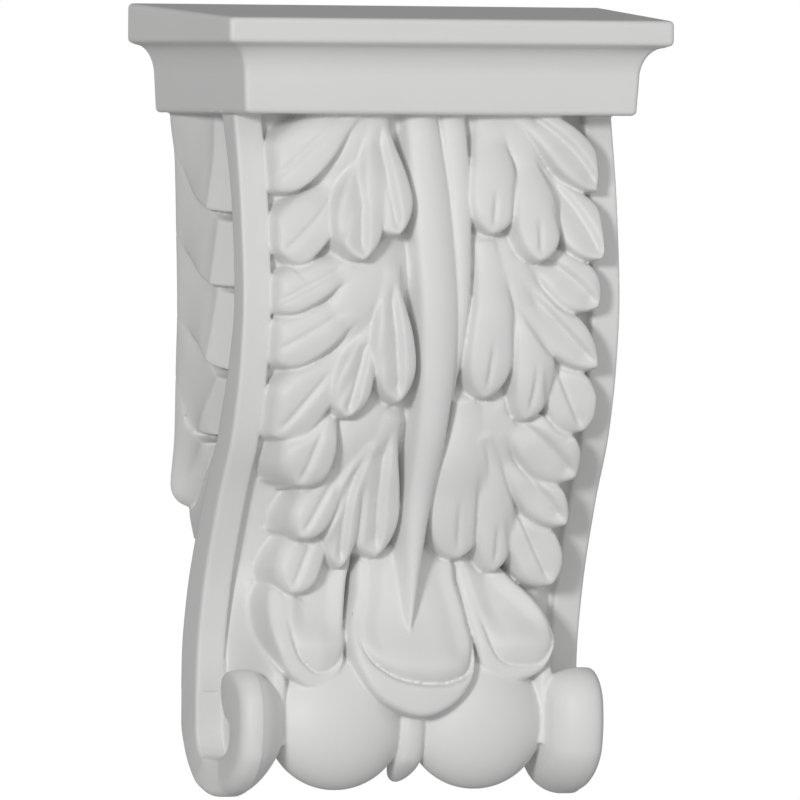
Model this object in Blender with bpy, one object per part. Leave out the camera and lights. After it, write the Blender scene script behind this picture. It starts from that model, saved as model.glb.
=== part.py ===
"""Leaf corbel: one solid casting, measured in metres.

X runs across the corbel, the front faces -Y, the wall is the plane Y = 0 and Z is up.
The origin is the centre of the wall face. Sizes below are given as "across" or "outward" (from the
middle), "depth" (out from the wall), "drop" (down from the top) and "rise" (above the border bands).
"""
import math
from collections import namedtuple

import bpy
import numpy as np

# overall
HEIGHT = 0.330
GRAIN = 0.0013
GRID = 0.0010
TRIANGLES = 8900
CLEAR = 0.004

# cap
CAP_DRAFT = 0.077
CAP_TOP_FALL = 0.0058
CAP_HALF_WIDTH = 0.1062
CAP_DEPTH = 0.1045
CAP_BAND_INSET = 0.0117
CAP_BAND_STEP = 0.0008
CAP_LIP = 0.0012
CAP_FASCIA_DROP = 0.0166
CAP_COVE_DROP = 0.0300
CAP_HEIGHT = 0.0455
CAP_ARRIS = 0.0020
CAP_CORNER = 0.0022

# border bands: drop and depth of the front face, then drop and thickness of the band
BAND_FRONT = ((0.030, 0.0660), (0.047, 0.0700), (0.084, 0.0780), (0.123, 0.0820), (0.149, 0.0790),
              (0.177, 0.0710), (0.207, 0.0547), (0.246, 0.0382), (0.274, 0.0323), (0.305, 0.0312))
BAND_THICKNESS = ((0.030, 0.0170), (0.084, 0.0115), (0.123, 0.0120), (0.177, 0.0180), (0.246, 0.0200),
                  (0.305, 0.0190))
BAND_FACE = 0.0125
SIDE_AT_WALL = 0.0860
SIDE_DRAFT = 0.030

# block behind the leaves
PANEL_HALF_WIDTH = 0.0745
PANEL_RECESS = 0.0065
PANEL_SWELL = 0.0040
FOOT_DROP = 0.3120
FOOT_ROUND = 0.0200

# scrolls: depth and drop of the curl's outside and of the open hollow inside it, from band to head
SCROLL_OUTSIDE = ((0.0152, 0.2620), (0.0128, 0.2860), (0.0128, 0.3000), (0.0170, 0.3110), (0.0280, 0.3235),
                  (0.0420, 0.3300), (0.0560, 0.3278), (0.0690, 0.3212), (0.0765, 0.3110), (0.0783, 0.2990),
                  (0.0775, 0.2895), (0.0742, 0.2825), (0.0690, 0.2782), (0.0630, 0.2762), (0.0575, 0.2772))
SCROLL_HOLLOW = ((0.0347, 0.2620), (0.0318, 0.2860), (0.0314, 0.3000), (0.0330, 0.3080), (0.0385, 0.3135),
                 (0.0450, 0.3142), (0.0520, 0.3128), (0.0575, 0.3095), (0.0605, 0.3045), (0.0600, 0.2990),
                 (0.0545, 0.2955), (0.0512, 0.2905), (0.0500, 0.2855), (0.0512, 0.2810), (0.0550, 0.2785))
SCROLL_MIDDLE = (0.0400, 0.3000)
SCROLL_FLAT = 0.0735
SCROLL_FLARE = 0.0590
SCROLL_INSET = 0.0145
SCROLL_INSET_POWER = 1.7
SCROLL_CORNER = 0.0060
SCROLL_TAPER = 0.0030
SCROLL_WALL = 0.0730

# panel beside the cups, which swells forward into the scroll: drop and rise
SWELL_RISE = ((0.205, -0.0065), (0.230, -0.0055), (0.244, 0.0000), (0.258, 0.0100), (0.270, 0.0200),
              (0.280, 0.0280), (0.308, 0.0280))
SWELL_FROM = 0.0460
SWELL_TO = 0.0670
SWELL_EDGE = 0.0060

# balls, hung from the foot of the block, and the tongue between them, hung from the balls
BALL_ABOVE_FOOT = 0.0135
BALL_AT = (0.0310, 0.0520, FOOT_DROP - BALL_ABOVE_FOOT)
BALL_RADII = (0.0300, 0.0190, 0.0287)
TONGUE_HALF_WIDTH = 0.0062
TONGUE_PATH = ((0.0620, -0.0135), (0.0650, 0.0015), (0.0610, 0.0155), (0.0500, 0.0260))
TONGUE_THICKNESS = 0.0090

# stem: across, drop, half width and rise
STEM_MAIN = ((-0.0060, 0.030, 0.0069, 0.0135), (-0.0030, 0.100, 0.0088, 0.0150),
             (-0.0006, 0.160, 0.0074, 0.0160), (-0.0016, 0.205, 0.0054, 0.0210),
             (-0.0024, 0.240, 0.0034, 0.0290), (-0.0040, 0.268, 0.0010, 0.0350))
STEM_SIDE = ((0.0080, 0.030, 0.0064, 0.0130), (0.0094, 0.080, 0.0052, 0.0135),
             (0.0090, 0.120, 0.0040, 0.0130), (0.0078, 0.165, 0.0012, 0.0090))
STEM_CROWN = 0.0030
STEM_EDGE = 0.0020

# cross-sections of the lobes: where the crease runs as a share of the half width, depth of its line,
# depth of the hollow beside it, the side that is hollowed, where it starts along the lobe,
# how pointed the tip is, the radius of the outward edge and how much the lower side stands higher
Form = namedtuple("Form", "crease line hollow turn start point flank tilt")
FLAT = Form(0.0, 0.0010, 0.0003, -1, 0.05, 0.45, 0.0040, 0.0024)
BROAD = Form(0.10, 0.0013, 0.0012, -1, 0.05, 0.45, 0.0040, 0.0024)
DROOPING = Form(0.10, 0.0013, 0.0016, -1, 0.10, 0.55, 0.0075, 0.0016)
SPOON = Form(0.12, 0.0012, 0.0034, -1, 0.05, 0.62, 0.0022, 0.0)
KEELED = Form(-0.10, 0.0010, 0.0030, 1, 0.05, 0.66, 0.0019, 0.0)
SPLIT = Form(0.10, 0.0012, 0.0016, -1, 0.10, 0.55, 0.0019, 0.0)
FINGER = Form(0.05, 0.0012, 0.0006, -1, 0.58, 0.55, 0.0022, 0.0)

# leaf lobes: root, middle and tip as outward and drop, half width, rise at root and tip, cross-section
Lobe = namedtuple("Lobe", "root middle tip half root_rise tip_rise form")
LEFT_LOBES = (
    Lobe((0.0350, 0.0420), (0.0560, 0.0605), (0.0775, 0.0782), 0.0148, 0.0190, 0.0150, FLAT),
    Lobe((0.0387, 0.0735), (0.0545, 0.0885), (0.0735, 0.1075), 0.0120, 0.0100, 0.0175, BROAD),
    Lobe((0.0277, 0.0588), (0.0380, 0.0838), (0.0400, 0.1062), 0.0098, 0.0140, 0.0240, SPOON),
    Lobe((0.0235, 0.0470), (0.0238, 0.0735), (0.0205, 0.0958), 0.0100, 0.0160, 0.0190, SPOON),
    Lobe((0.0339, 0.1080), (0.0540, 0.1165), (0.0770, 0.1288), 0.0092, 0.0130, 0.0150, BROAD),
    Lobe((0.0326, 0.1227), (0.0520, 0.1358), (0.0765, 0.1500), 0.0115, 0.0110, 0.0160, FLAT),
    Lobe((0.0380, 0.1400), (0.0560, 0.1590), (0.0725, 0.1795), 0.0120, 0.0130, 0.0180, BROAD),
    Lobe((0.0285, 0.1345), (0.0365, 0.1512), (0.0408, 0.1715), 0.0086, 0.0150, 0.0205, SPOON),
    Lobe((0.0215, 0.1100), (0.0218, 0.1348), (0.0182, 0.1655), 0.0094, 0.0160, 0.0190, SPOON),
    Lobe((0.0460, 0.1640), (0.0545, 0.1812), (0.0610, 0.2005), 0.0145, 0.0140, 0.0215, DROOPING),
    Lobe((0.0322, 0.1840), (0.0457, 0.2040), (0.0590, 0.2215), 0.0118, 0.0095, 0.0250, DROOPING),
    Lobe((0.0390, 0.2070), (0.0494, 0.2262), (0.0603, 0.2446), 0.0128, 0.0105, 0.0250, DROOPING),
    Lobe((0.0251, 0.1839), (0.0335, 0.2074), (0.0317, 0.2345), 0.0076, 0.0170, 0.0220, SPOON),
    Lobe((0.0175, 0.1719), (0.0205, 0.2010), (0.0172, 0.2301), 0.0112, 0.0150, 0.0220, SPOON),
)
RIGHT_LOBES = (
    Lobe((0.0330, 0.0400), (0.0560, 0.0575), (0.0715, 0.0775), 0.0098, 0.0190, 0.0150, KEELED),
    Lobe((0.0500, 0.0690), (0.0605, 0.0870), (0.0695, 0.1056), 0.0112, 0.0110, 0.0200, KEELED),
    Lobe((0.0368, 0.0560), (0.0415, 0.0825), (0.0400, 0.1064), 0.0098, 0.0140, 0.0240, FINGER),
    Lobe((0.0238, 0.0441), (0.0243, 0.0700), (0.0216, 0.0952), 0.0103, 0.0160, 0.0185, FINGER),
    Lobe((0.0380, 0.1000), (0.0545, 0.1120), (0.0694, 0.1256), 0.0110, 0.0130, 0.0155, KEELED),
    Lobe((0.0278, 0.1058), (0.0485, 0.1306), (0.0694, 0.1505), 0.0098, 0.0120, 0.0190, KEELED),
    Lobe((0.0469, 0.1378), (0.0560, 0.1563), (0.0662, 0.1772), 0.0112, 0.0120, 0.0185, SPLIT),
    Lobe((0.0275, 0.1104), (0.0405, 0.1419), (0.0385, 0.1725), 0.0092, 0.0150, 0.0205, FINGER),
    Lobe((0.0203, 0.0985), (0.0222, 0.1316), (0.0201, 0.1635), 0.0103, 0.0160, 0.0185, FINGER),
    Lobe((0.0300, 0.1660), (0.0475, 0.1810), (0.0655, 0.1970), 0.0115, 0.0140, 0.0220, KEELED),
    Lobe((0.0310, 0.1790), (0.0480, 0.2000), (0.0644, 0.2165), 0.0090, 0.0150, 0.0260, KEELED),
    Lobe((0.0375, 0.1985), (0.0500, 0.2198), (0.0622, 0.2420), 0.0102, 0.0160, 0.0255, SPLIT),
    Lobe((0.0230, 0.1800), (0.0332, 0.2080), (0.0362, 0.2364), 0.0086, 0.0170, 0.0220, FINGER),
    Lobe((0.0153, 0.1649), (0.0160, 0.1971), (0.0198, 0.2308), 0.0130, 0.0150, 0.0220, FINGER),
)
LOBE_CROWN = 0.0022
LOBE_EDGE = 0.0024
LOBE_NOSE = 0.0032
LOBE_SINK = 0.0060
LOBE_LIMIT = 0.0718
LOBE_LINE_WIDTH = 0.0016
LOBE_BULGE = 0.16
LOBE_SHADOW = 0.0030
LOBE_SHADOW_WIDTH = 0.0018
LOBE_BLEND = 0.0045
LOBE_NOSE_FROM = 0.72
LOBE_ROOT_WIDTH = 0.50
WALL_SLOPE = 11.0

# soft masses behind the lobes: middle as outward and drop, half sizes across and down, and rise
MASSES = (
    (0.034, 0.050, 0.030, 0.032, 0.0125),
    (0.034, 0.118, 0.030, 0.036, 0.0115),
    (0.030, 0.184, 0.026, 0.038, 0.0125),
)
MASS_LEAN = 0.50

# cupped leaves over the balls: outline and dish as outward and drop, then drop and rise of the face
CENTRE_OUTLINE = ((-0.0180, 0.2260), (-0.0245, 0.2460), (-0.0283, 0.2620), (-0.0262, 0.2760),
                  (-0.0170, 0.2895), (0.0010, 0.2965), (0.0176, 0.2893), (0.0262, 0.2740),
                  (0.0250, 0.2560), (0.0210, 0.2400), (0.0170, 0.2260))
CENTRE_DISH = ((-0.0160, 0.2260), (-0.0215, 0.2460), (-0.0248, 0.2620), (-0.0210, 0.2725),
               (-0.0100, 0.2800), (0.0020, 0.2826), (0.0140, 0.2822), (0.0240, 0.2760),
               (0.0245, 0.2560), (0.0205, 0.2400), (0.0170, 0.2260))
CENTRE_RISE = ((0.226, 0.0150), (0.240, 0.0225), (0.255, 0.0300), (0.268, 0.0385), (0.282, 0.0440),
               (0.297, 0.0460))
RIGHT_OUTLINE = ((0.0160, 0.2260), (0.0205, 0.2400), (0.0240, 0.2557), (0.0272, 0.2680), (0.0312, 0.2782),
                 (0.0440, 0.2822), (0.0560, 0.2780), (0.0625, 0.2680), (0.0620, 0.2570),
                 (0.0560, 0.2470), (0.0478, 0.2394), (0.0340, 0.2280))
RIGHT_DISH = ((0.0210, 0.2260), (0.0258, 0.2400), (0.0300, 0.2560), (0.0338, 0.2680), (0.0392, 0.2742),
              (0.0480, 0.2757), (0.0560, 0.2745), (0.0615, 0.2670), (0.0612, 0.2570),
              (0.0555, 0.2475), (0.0474, 0.2400), (0.0360, 0.2280))
LEFT_OUTLINE = ((0.0220, 0.2260), (0.0235, 0.2400), (0.0250, 0.2557), (0.0265, 0.2680), (0.0315, 0.2800),
                (0.0432, 0.2853), (0.0530, 0.2810), (0.0594, 0.2731), (0.0633, 0.2600),
                (0.0622, 0.2440), (0.0520, 0.2320), (0.0360, 0.2260))
LEFT_DISH = ((0.0220, 0.2260), (0.0240, 0.2400), (0.0256, 0.2557), (0.0272, 0.2680), (0.0330, 0.2752),
             (0.0420, 0.2784), (0.0490, 0.2750), (0.0535, 0.2680), (0.0555, 0.2580),
             (0.0540, 0.2450), (0.0480, 0.2350), (0.0360, 0.2280))
SIDE_RISE = ((0.226, 0.0110), (0.240, 0.0170), (0.255, 0.0270), (0.268, 0.0350), (0.286, 0.0365))
CENTRE_DOME = 0.0060
SIDE_DOME = 0.0030
CUP_REACH = 0.0200
CENTRE_RIM = 0.0030
SIDE_RIM = 0.0036
CUP_BOWL = 0.0090
CUP_EDGE = 0.0030
CUP_CREASE = 0.0018
CUP_TURN = 0.0110
CUP_TURN_FALL = 0.0075
CUP_WALL_SLOPE = 20.0

# husks on the sides: lower edge of each as depth and drop, then its ridge as drop and depth
HUSK_EDGES = (
    ((0.0, 0.0500), (0.0090, 0.0640), (0.0270, 0.0805), (0.0450, 0.0860), (0.0700, 0.0870), (0.0850, 0.0870)),
    ((0.0, 0.0870), (0.0120, 0.0995), (0.0295, 0.1116), (0.0486, 0.1166), (0.0720, 0.1170), (0.0850, 0.1170)),
    ((0.0, 0.1220), (0.0100, 0.1330), (0.0367, 0.1467), (0.0490, 0.1510), (0.0670, 0.1515), (0.0850, 0.1515)),
    ((0.0, 0.1480), (0.0080, 0.1590), (0.0190, 0.1680), (0.0234, 0.1760), (0.0297, 0.1788), (0.0850, 0.1790)),
    ((0.0, 0.2105), (0.0040, 0.2100), (0.0090, 0.2065), (0.0160, 0.1990), (0.0300, 0.1850), (0.0850, 0.1300)),
)
HUSK_RIDGES = (
    ((0.045, 0.040), (0.066, 0.046), (0.087, 0.039)),
    ((0.087, 0.056), (0.117, 0.044)),
    ((0.117, 0.053), (0.151, 0.039)),
    ((0.151, 0.056), (0.179, 0.028)),
    ((0.179, 0.030), (0.210, 0.009)),
)
HUSK_RISE = ((0.041, 0.0125), (0.047, 0.0120), (0.065, 0.0098), (0.100, 0.0088), (0.150, 0.0088),
             (0.200, 0.0115), (0.215, 0.0120))
HUSK_DIP = 0.0032
HUSK_FALL = 0.0110
HUSK_FALL_OVER = 0.0260
HUSK_LIFT = 0.0042
HUSK_LENGTH = 0.0320
HUSK_EDGE = 0.0014
HUSK_FOOT = 0.0100
HUSK_SLOT = 0.0033
HUSK_SLOT_DEPTH = 0.0060
HUSK_SLOT_FROM = 0.0420
HUSK_WALL_SLOPE = 4.0

TOP = HEIGHT / 2


def through(stations, value):
    """Smooth reading of a size between its stated stations, for one value or an array."""
    xs = np.array([s[0] for s in stations], dtype=float)
    ys = np.array([s[1] for s in stations], dtype=float)
    slopes = np.diff(ys) / np.diff(xs)
    tangents = np.empty(len(xs))
    tangents[0] = slopes[0]
    tangents[-1] = slopes[-1]
    for i in range(1, len(xs) - 1):
        before, after = slopes[i - 1], slopes[i]
        tangents[i] = 2 * before * after / (before + after) if before * after > 0 else 0.0
    value = np.clip(np.asarray(value, dtype=float), xs[0], xs[-1])
    i = np.clip(np.searchsorted(xs, value, side="right") - 1, 0, len(xs) - 2)
    span = xs[i + 1] - xs[i]
    t = (value - xs[i]) / span
    return ((2 * t**3 - 3 * t**2 + 1) * ys[i] + (t**3 - 2 * t**2 + t) * span * tangents[i]
            + (3 * t**2 - 2 * t**3) * ys[i + 1] + (t**3 - t**2) * span * tangents[i + 1])


def band_front(drop):
    return through(BAND_FRONT, drop)


def band_back(drop):
    return band_front(drop) - through(BAND_THICKNESS, drop)


def smooth(t):
    t = np.clip(t, 0.0, 1.0)
    return t * t * (3 - 2 * t)


def quarter_round(distance, radius):
    """How far a rounded edge has fallen at a distance inside it."""
    near = np.clip(1 - distance / radius, 0.0, 1.0)
    return radius * (1 - np.sqrt(1 - near * near))


def soft_max(a, b, blend):
    """The higher of two surfaces, with their meeting line filled a little."""
    return np.maximum(a, b) + np.maximum(0.0, blend - np.abs(a - b)) ** 2 / (4 * blend)


def place(across, depth, drop):
    return (across, -depth, TOP - drop)


def steps(start, end, count):
    return [start + (end - start) * i / (count - 1) for i in range(count)]


def between(a, b, share):
    return (a[0] + (b[0] - a[0]) * share, a[1] + (b[1] - a[1]) * share)


def spaced(points, count):
    """Smooth line through pairs, read at even steps."""
    keys = range(len(points))
    at = np.linspace(0, len(points) - 1, count)
    return list(zip(*(through([(k, points[k][i]) for k in keys], at).tolist() for i in (0, 1))))


def closed_curve(points, per_span=6):
    """Smooth closed outline through the stated points."""
    p = np.array(points)
    before, after, beyond = np.roll(p, 1, 0), np.roll(p, -1, 0), np.roll(p, -2, 0)
    t = np.arange(per_span)[None, :, None] / per_span
    p, before, after, beyond = (q[:, None, :] for q in (p, before, after, beyond))
    curve = 0.5 * (2 * p + (after - before) * t + (2 * before - 5 * p + 4 * after - beyond) * t**2
                   + (3 * p - before - 3 * after + beyond) * t**3)
    return curve.reshape(-1, 2)


def inside_distance(outline, x, y):
    """Distance to a closed outline, positive inside."""
    nearest = np.full(x.shape, np.inf)
    inside = np.zeros(x.shape, dtype=bool)
    for (ax, ay), (bx, by) in zip(outline, np.roll(outline, -1, 0)):
        ex, ey = bx - ax, by - ay
        length = math.hypot(ex, ey)
        if length == 0:
            continue
        t = np.clip(((x - ax) * ex + (y - ay) * ey) / length**2, 0, 1)
        nearest = np.minimum(nearest, np.hypot(x - ax - t * ex, y - ay - t * ey))
        if ay != by:
            crosses = (ay > y) != (by > y)
            inside ^= crosses & (x < ax + (y - ay) * ex / ey)
    return np.where(inside, nearest, -nearest)


class Skin:
    """Corners and faces of closed shells, collected into one mesh."""

    def __init__(self):
        self.corners = []
        self.faces = []

    def loft(self, rings):
        """Closed shell through rings of equal length, each a list of across, depth and drop."""
        first = len(self.corners)
        size = len(rings[0])
        for ring in rings:
            self.corners.extend(place(*point) for point in ring)
        for i in range(len(rings) - 1):
            a = first + i * size
            for j in range(size):
                k = (j + 1) % size
                self.faces.append((a + j, a + k, a + size + k, a + size + j))
        last = first + (len(rings) - 1) * size
        self.faces.append(tuple(reversed(range(first, first + size))))
        self.faces.append(tuple(range(last, last + size)))

    def slab(self, front, back):
        """Closed slab between two grids of corners, each rows x columns x 3."""
        first = len(self.corners)
        rows, columns, _ = front.shape
        for sheet in (front, back):
            self.corners.extend(place(*point) for point in sheet.reshape(-1, 3).tolist())
        behind = first + rows * columns

        def corner(i, j):
            return i * columns + j

        for i in range(rows - 1):
            for j in range(columns - 1):
                a, b, c, d = corner(i, j), corner(i, j + 1), corner(i + 1, j + 1), corner(i + 1, j)
                self.faces.append((first + a, first + b, first + c, first + d))
                self.faces.append((behind + d, behind + c, behind + b, behind + a))
        edge = [corner(0, j) for j in range(columns)]
        edge += [corner(i, columns - 1) for i in range(1, rows)]
        edge += [corner(rows - 1, j) for j in range(columns - 2, -1, -1)]
        edge += [corner(i, 0) for i in range(rows - 2, 0, -1)]
        for a, b in zip(edge, edge[1:] + edge[:1]):
            self.faces.append((first + b, first + a, behind + a, behind + b))

    def solid(self, name):
        mesh = bpy.data.meshes.new(name)
        mesh.from_pydata(self.corners, [], self.faces)
        obj = bpy.data.objects.new(name, mesh)
        bpy.context.collection.objects.link(obj)
        return obj


class Relief:
    """Height of the carving above the border bands, over across and drop."""

    def __init__(self, half_width, top, foot):
        self.across = np.arange(-half_width, half_width + GRID / 2, GRID)
        self.drop = np.arange(top, foot + GRID / 2, GRID)
        self.x, self.t = np.meshgrid(self.across, self.drop)
        swell = smooth((half_width - np.abs(self.x)) / (half_width * 0.4))
        self.height = -PANEL_RECESS + PANEL_SWELL * swell
        beside = smooth((np.abs(self.x) - SWELL_FROM) / SWELL_EDGE)
        beside *= 1 - smooth((np.abs(self.x) - SWELL_TO) / SWELL_EDGE)
        self.height += beside * (through(SWELL_RISE, self.t) + PANEL_RECESS)

    def window(self, points, side, margin):
        """Part of the grid around the stated outward and drop pairs."""
        low = min(p[0] for p in points) - margin
        high = max(p[0] for p in points) + margin
        if side < 0:
            low, high = -high, -low
        columns = np.searchsorted(self.across, (low, high))
        rows = np.searchsorted(self.drop, (min(p[1] for p in points) - margin,
                                           max(p[1] for p in points) + margin))
        return slice(*rows), slice(*columns)

    def lay(self, part, surface, blend):
        self.height[part] = soft_max(self.height[part], surface, blend)

    def cut_around(self, part, inside, share):
        """The dark line where one leaf stands over the next."""
        outside = np.maximum(-inside, 0.0)
        self.height[part] -= LOBE_SHADOW * share * np.exp(-(outside / LOBE_SHADOW_WIDTH) ** 2)


def lobe_outline(u, point):
    grow = LOBE_ROOT_WIDTH + (1 - LOBE_ROOT_WIDTH) * smooth((u + 0.1) / 0.7)
    from_tip = 1.0 - 0.6 * point
    close = np.clip((u - from_tip) / (1 - from_tip), 0.0, 1.0)
    return grow * np.maximum(0.0, 1 - close ** 2.3) ** point


def along_lobe(root, middle, tip, x, t):
    """Position along a lobe, sideways distance from its middle line, and its length."""
    root, middle, tip = (np.array(p) for p in (root, middle, tip))
    bend = 2 * middle - (root + tip) / 2
    s = np.linspace(0, 1, 61)[:, None]
    line = (1 - s) ** 2 * root + 2 * s * (1 - s) * bend + s * s * tip
    heading = 2 * (1 - s) * (bend - root) + 2 * s * (tip - bend)
    heading /= np.linalg.norm(heading, axis=1)[:, None]
    run = np.concatenate(([0.0], np.cumsum(np.linalg.norm(np.diff(line, axis=0), axis=1))))
    near = np.argmin((x[..., None] - line[:, 0]) ** 2 + (t[..., None] - line[:, 1]) ** 2, axis=-1)
    dx, dt = x - line[near, 0], t - line[near, 1]
    hx, ht = heading[near, 0], heading[near, 1]
    return (run[near] + dx * hx + dt * ht) / run[-1], -dx * ht + dt * hx, run[-1]


def cross_section(form, share, u):
    """Fall of a lobe's face: a crease with a hollow on one side and a full bulge on the other."""
    q = form.turn * (share - form.crease)
    rim = 0.86 - form.turn * form.crease
    hollow = 1 - smooth(np.clip(q, 0, 2) / rim)
    bulge = np.exp(-(np.minimum(q, 0) / LOBE_BULGE) ** 2)
    along = smooth((u - form.start) / 0.25) * smooth((0.99 - u) / 0.14)
    return form.hollow * along * np.where(q > 0, hollow, bulge)


def lay_lobe(relief, lobe, side):
    """A lobe of a leaf with a creased face, a rounded edge and steep walls."""
    form, wide = lobe.form, lobe.half
    part = relief.window((lobe.root, lobe.middle, lobe.tip), side, wide + 2 * LOBE_EDGE)
    outward_x = side * relief.x[part]
    u, v, length = along_lobe(lobe.root, lobe.middle, lobe.tip, outward_x, relief.t[part])
    half = wide * lobe_outline(u, form.point)
    lean = wide * (lobe_outline(u + 0.01, form.point) - lobe_outline(u - 0.01, form.point)) / (0.02 * length)
    inside = (half - np.abs(v)) / np.sqrt(1 + lean * lean)
    inside = np.where(u > 1, -np.hypot((u - 1) * length, v), inside)
    to_limit = LOBE_LIMIT - outward_x
    share = np.clip(v / np.maximum(half, LOBE_EDGE), -1.2, 1.2)
    radius = LOBE_EDGE + (form.flank - LOBE_EDGE) * smooth((0.4 - share) / 0.8)
    fall = np.maximum(quarter_round(inside, radius), quarter_round(to_limit, form.flank))
    inside = -soft_max(-inside, -to_limit, LOBE_EDGE)
    height = lobe.root_rise + (lobe.tip_rise - lobe.root_rise) * np.clip(u, 0, 1.05) ** 1.4
    height += form.tilt * share - LOBE_CROWN * share * share
    height -= LOBE_NOSE * np.clip((u - LOBE_NOSE_FROM) / (1 - LOBE_NOSE_FROM), 0, 1.2) ** 2
    height -= LOBE_SINK * (1 - smooth(u / 0.5))
    height -= cross_section(form, share, u)
    line = smooth((u - form.start) / 0.2) * smooth((0.97 - u) / 0.12)
    height -= form.line * line * np.exp(-((v - form.crease * half) / LOBE_LINE_WIDTH) ** 2)
    height -= fall
    height += WALL_SLOPE * np.minimum(inside, 0.0)
    height -= length * np.clip(-u, 0, 1)
    relief.cut_around(part, inside, smooth((u - 0.15) / 0.4))
    relief.lay(part, height, GRID / 2 + LOBE_BLEND * (1 - smooth(u / 0.6)))


def lay_mass(relief, mass, side):
    """A soft rounded mass that joins the roots of the lobes."""
    out, drop, half_out, half_drop, rise = mass
    part = relief.window(((out, drop),), side, 2 * max(half_out, half_drop))
    x = side * relief.x[part] - out
    t = relief.t[part] - drop - MASS_LEAN * x
    far = np.hypot(x / half_out, t / half_drop)
    relief.lay(part, rise - (rise + PANEL_RECESS) * far ** 2.5, LOBE_BLEND)


def lay_strand(relief, stations, crown):
    """One rib of the stem, narrowing downwards."""
    widest = max(abs(s[0]) + s[2] for s in stations)
    part = relief.window(((-widest, stations[0][1]), (widest, stations[-1][1])), 1, 2 * STEM_EDGE)
    across, half, rise = (through([(s[1], s[i]) for s in stations], relief.t[part]) for i in (0, 2, 3))
    inside = half - np.abs(relief.x[part] - across)
    inside = np.minimum(inside, stations[-1][1] - relief.t[part])
    share = np.minimum(np.abs(relief.x[part] - across) / half, 1.2)
    height = rise - crown * share * share - quarter_round(inside, STEM_EDGE)
    height += WALL_SLOPE * np.minimum(inside, 0.0)
    relief.lay(part, height, GRID / 2)


def lay_cup(relief, outline, dish, rise, dome, rim, side):
    """A broad leaf with a shallow dish inside a rolled rim, turning under at its foot."""
    part = relief.window(outline, side, 2 * CUP_EDGE)
    x, t = side * relief.x[part], relief.t[part]
    inside = inside_distance(closed_curve(outline), x, t)
    dish = inside_distance(closed_curve(dish), x, t)
    foot = rise[-1][0]
    low = smooth((t - (foot - 3 * CUP_TURN)) / (1.5 * CUP_TURN))
    height = through(rise, t)
    height -= dome * (1 - np.clip(inside / CUP_REACH, 0, 1)) ** 2 * (1 - 0.7 * low)
    turned = CUP_TURN_FALL * (1 - np.sqrt(1 - np.clip(1 - dish / CUP_TURN, 0, 1) ** 2)) * low
    sunk = rim * (1 - low) * smooth(dish / CUP_BOWL)
    height -= np.where(dish > 0, turned + sunk, CUP_TURN_FALL * 0.45 * low)
    height -= CUP_CREASE * np.exp(-(dish / GRID) ** 2)
    height -= quarter_round(inside, CUP_EDGE)
    height += CUP_WALL_SLOPE * np.minimum(inside, 0.0)
    relief.cut_around(part, inside, 1.0)
    relief.lay(part, height, GRID / 2)


def leaves(skin):
    """All the carving of the front, as one slab laid on the block."""
    relief = Relief(PANEL_HALF_WIDTH + CLEAR, CAP_HEIGHT - 2 * CLEAR, FOOT_DROP - CLEAR)
    for side in (-1, 1):
        for mass in MASSES:
            lay_mass(relief, mass, side)
    lay_cup(relief, LEFT_OUTLINE, LEFT_DISH, SIDE_RISE, SIDE_DOME, SIDE_RIM, -1)
    lay_cup(relief, RIGHT_OUTLINE, RIGHT_DISH, SIDE_RISE, SIDE_DOME, SIDE_RIM, 1)
    lay_cup(relief, CENTRE_OUTLINE, CENTRE_DISH, CENTRE_RISE, CENTRE_DOME, CENTRE_RIM, 1)
    for side, lobes in ((-1, LEFT_LOBES), (1, RIGHT_LOBES)):
        for lobe in reversed(lobes):
            lay_lobe(relief, lobe, side)
    lay_strand(relief, STEM_SIDE, STEM_CROWN)
    lay_strand(relief, STEM_MAIN, STEM_CROWN)
    faces = band_front(relief.t)
    front = np.stack((relief.x, faces + relief.height, relief.t), axis=-1)
    behind = np.minimum(faces - PANEL_RECESS - CLEAR, front[..., 1] - CLEAR)
    skin.slab(front, np.stack((relief.x, behind, relief.t), axis=-1))


def husk_height(depth, drop):
    """How far the husks stand out of the side panel."""
    base = through(HUSK_RISE, drop)
    height = np.full(depth.shape, -GRID)
    for edge, ridge in zip(HUSK_EDGES, HUSK_RIDGES):
        below = through(edge, depth) - drop
        crest = through(ridge, drop)
        face = base - HUSK_DIP * np.sin(math.pi * np.clip(depth / crest, 0, 1) ** 1.5)
        face -= HUSK_FALL * np.maximum(depth - crest, 0) / HUSK_FALL_OVER
        lift = HUSK_LIFT * smooth(depth / HUSK_LENGTH)
        face += lift * (1 - np.clip(below / HUSK_LENGTH, 0, 1.5))
        radius = HUSK_FOOT if edge is HUSK_EDGES[-1] else HUSK_EDGE
        face -= quarter_round(below, radius) + HUSK_WALL_SLOPE * np.maximum(-below, 0.0)
        height = np.maximum(height, face)
    for edge in HUSK_EDGES[:-1]:
        under = drop - through(edge, depth)
        slot = smooth(under / GRID) * smooth((HUSK_SLOT - under) / GRID)
        height -= HUSK_SLOT_DEPTH * slot * smooth((depth - HUSK_SLOT_FROM) / HUSK_SLOT_DEPTH)
    return height


def husks(skin, side):
    """The side of the corbel with its overlapping husks."""
    drops = np.arange(CAP_HEIGHT - CLEAR, HUSK_RISE[-1][0], GRID)
    share, drop = np.meshgrid(np.linspace(0.0, 1.0, 76), drops)
    depth = share * (band_back(drop) + CLEAR)
    out = PANEL_HALF_WIDTH + husk_height(depth, drop)
    depth = np.where(share == 0.0, -CLEAR, depth)
    front = np.stack((side * out, depth, drop), axis=-1)
    inner = np.full(drop.shape, side * (PANEL_HALF_WIDTH - 2 * CLEAR))
    skin.slab(front, np.stack((inner, depth, drop), axis=-1))


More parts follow.
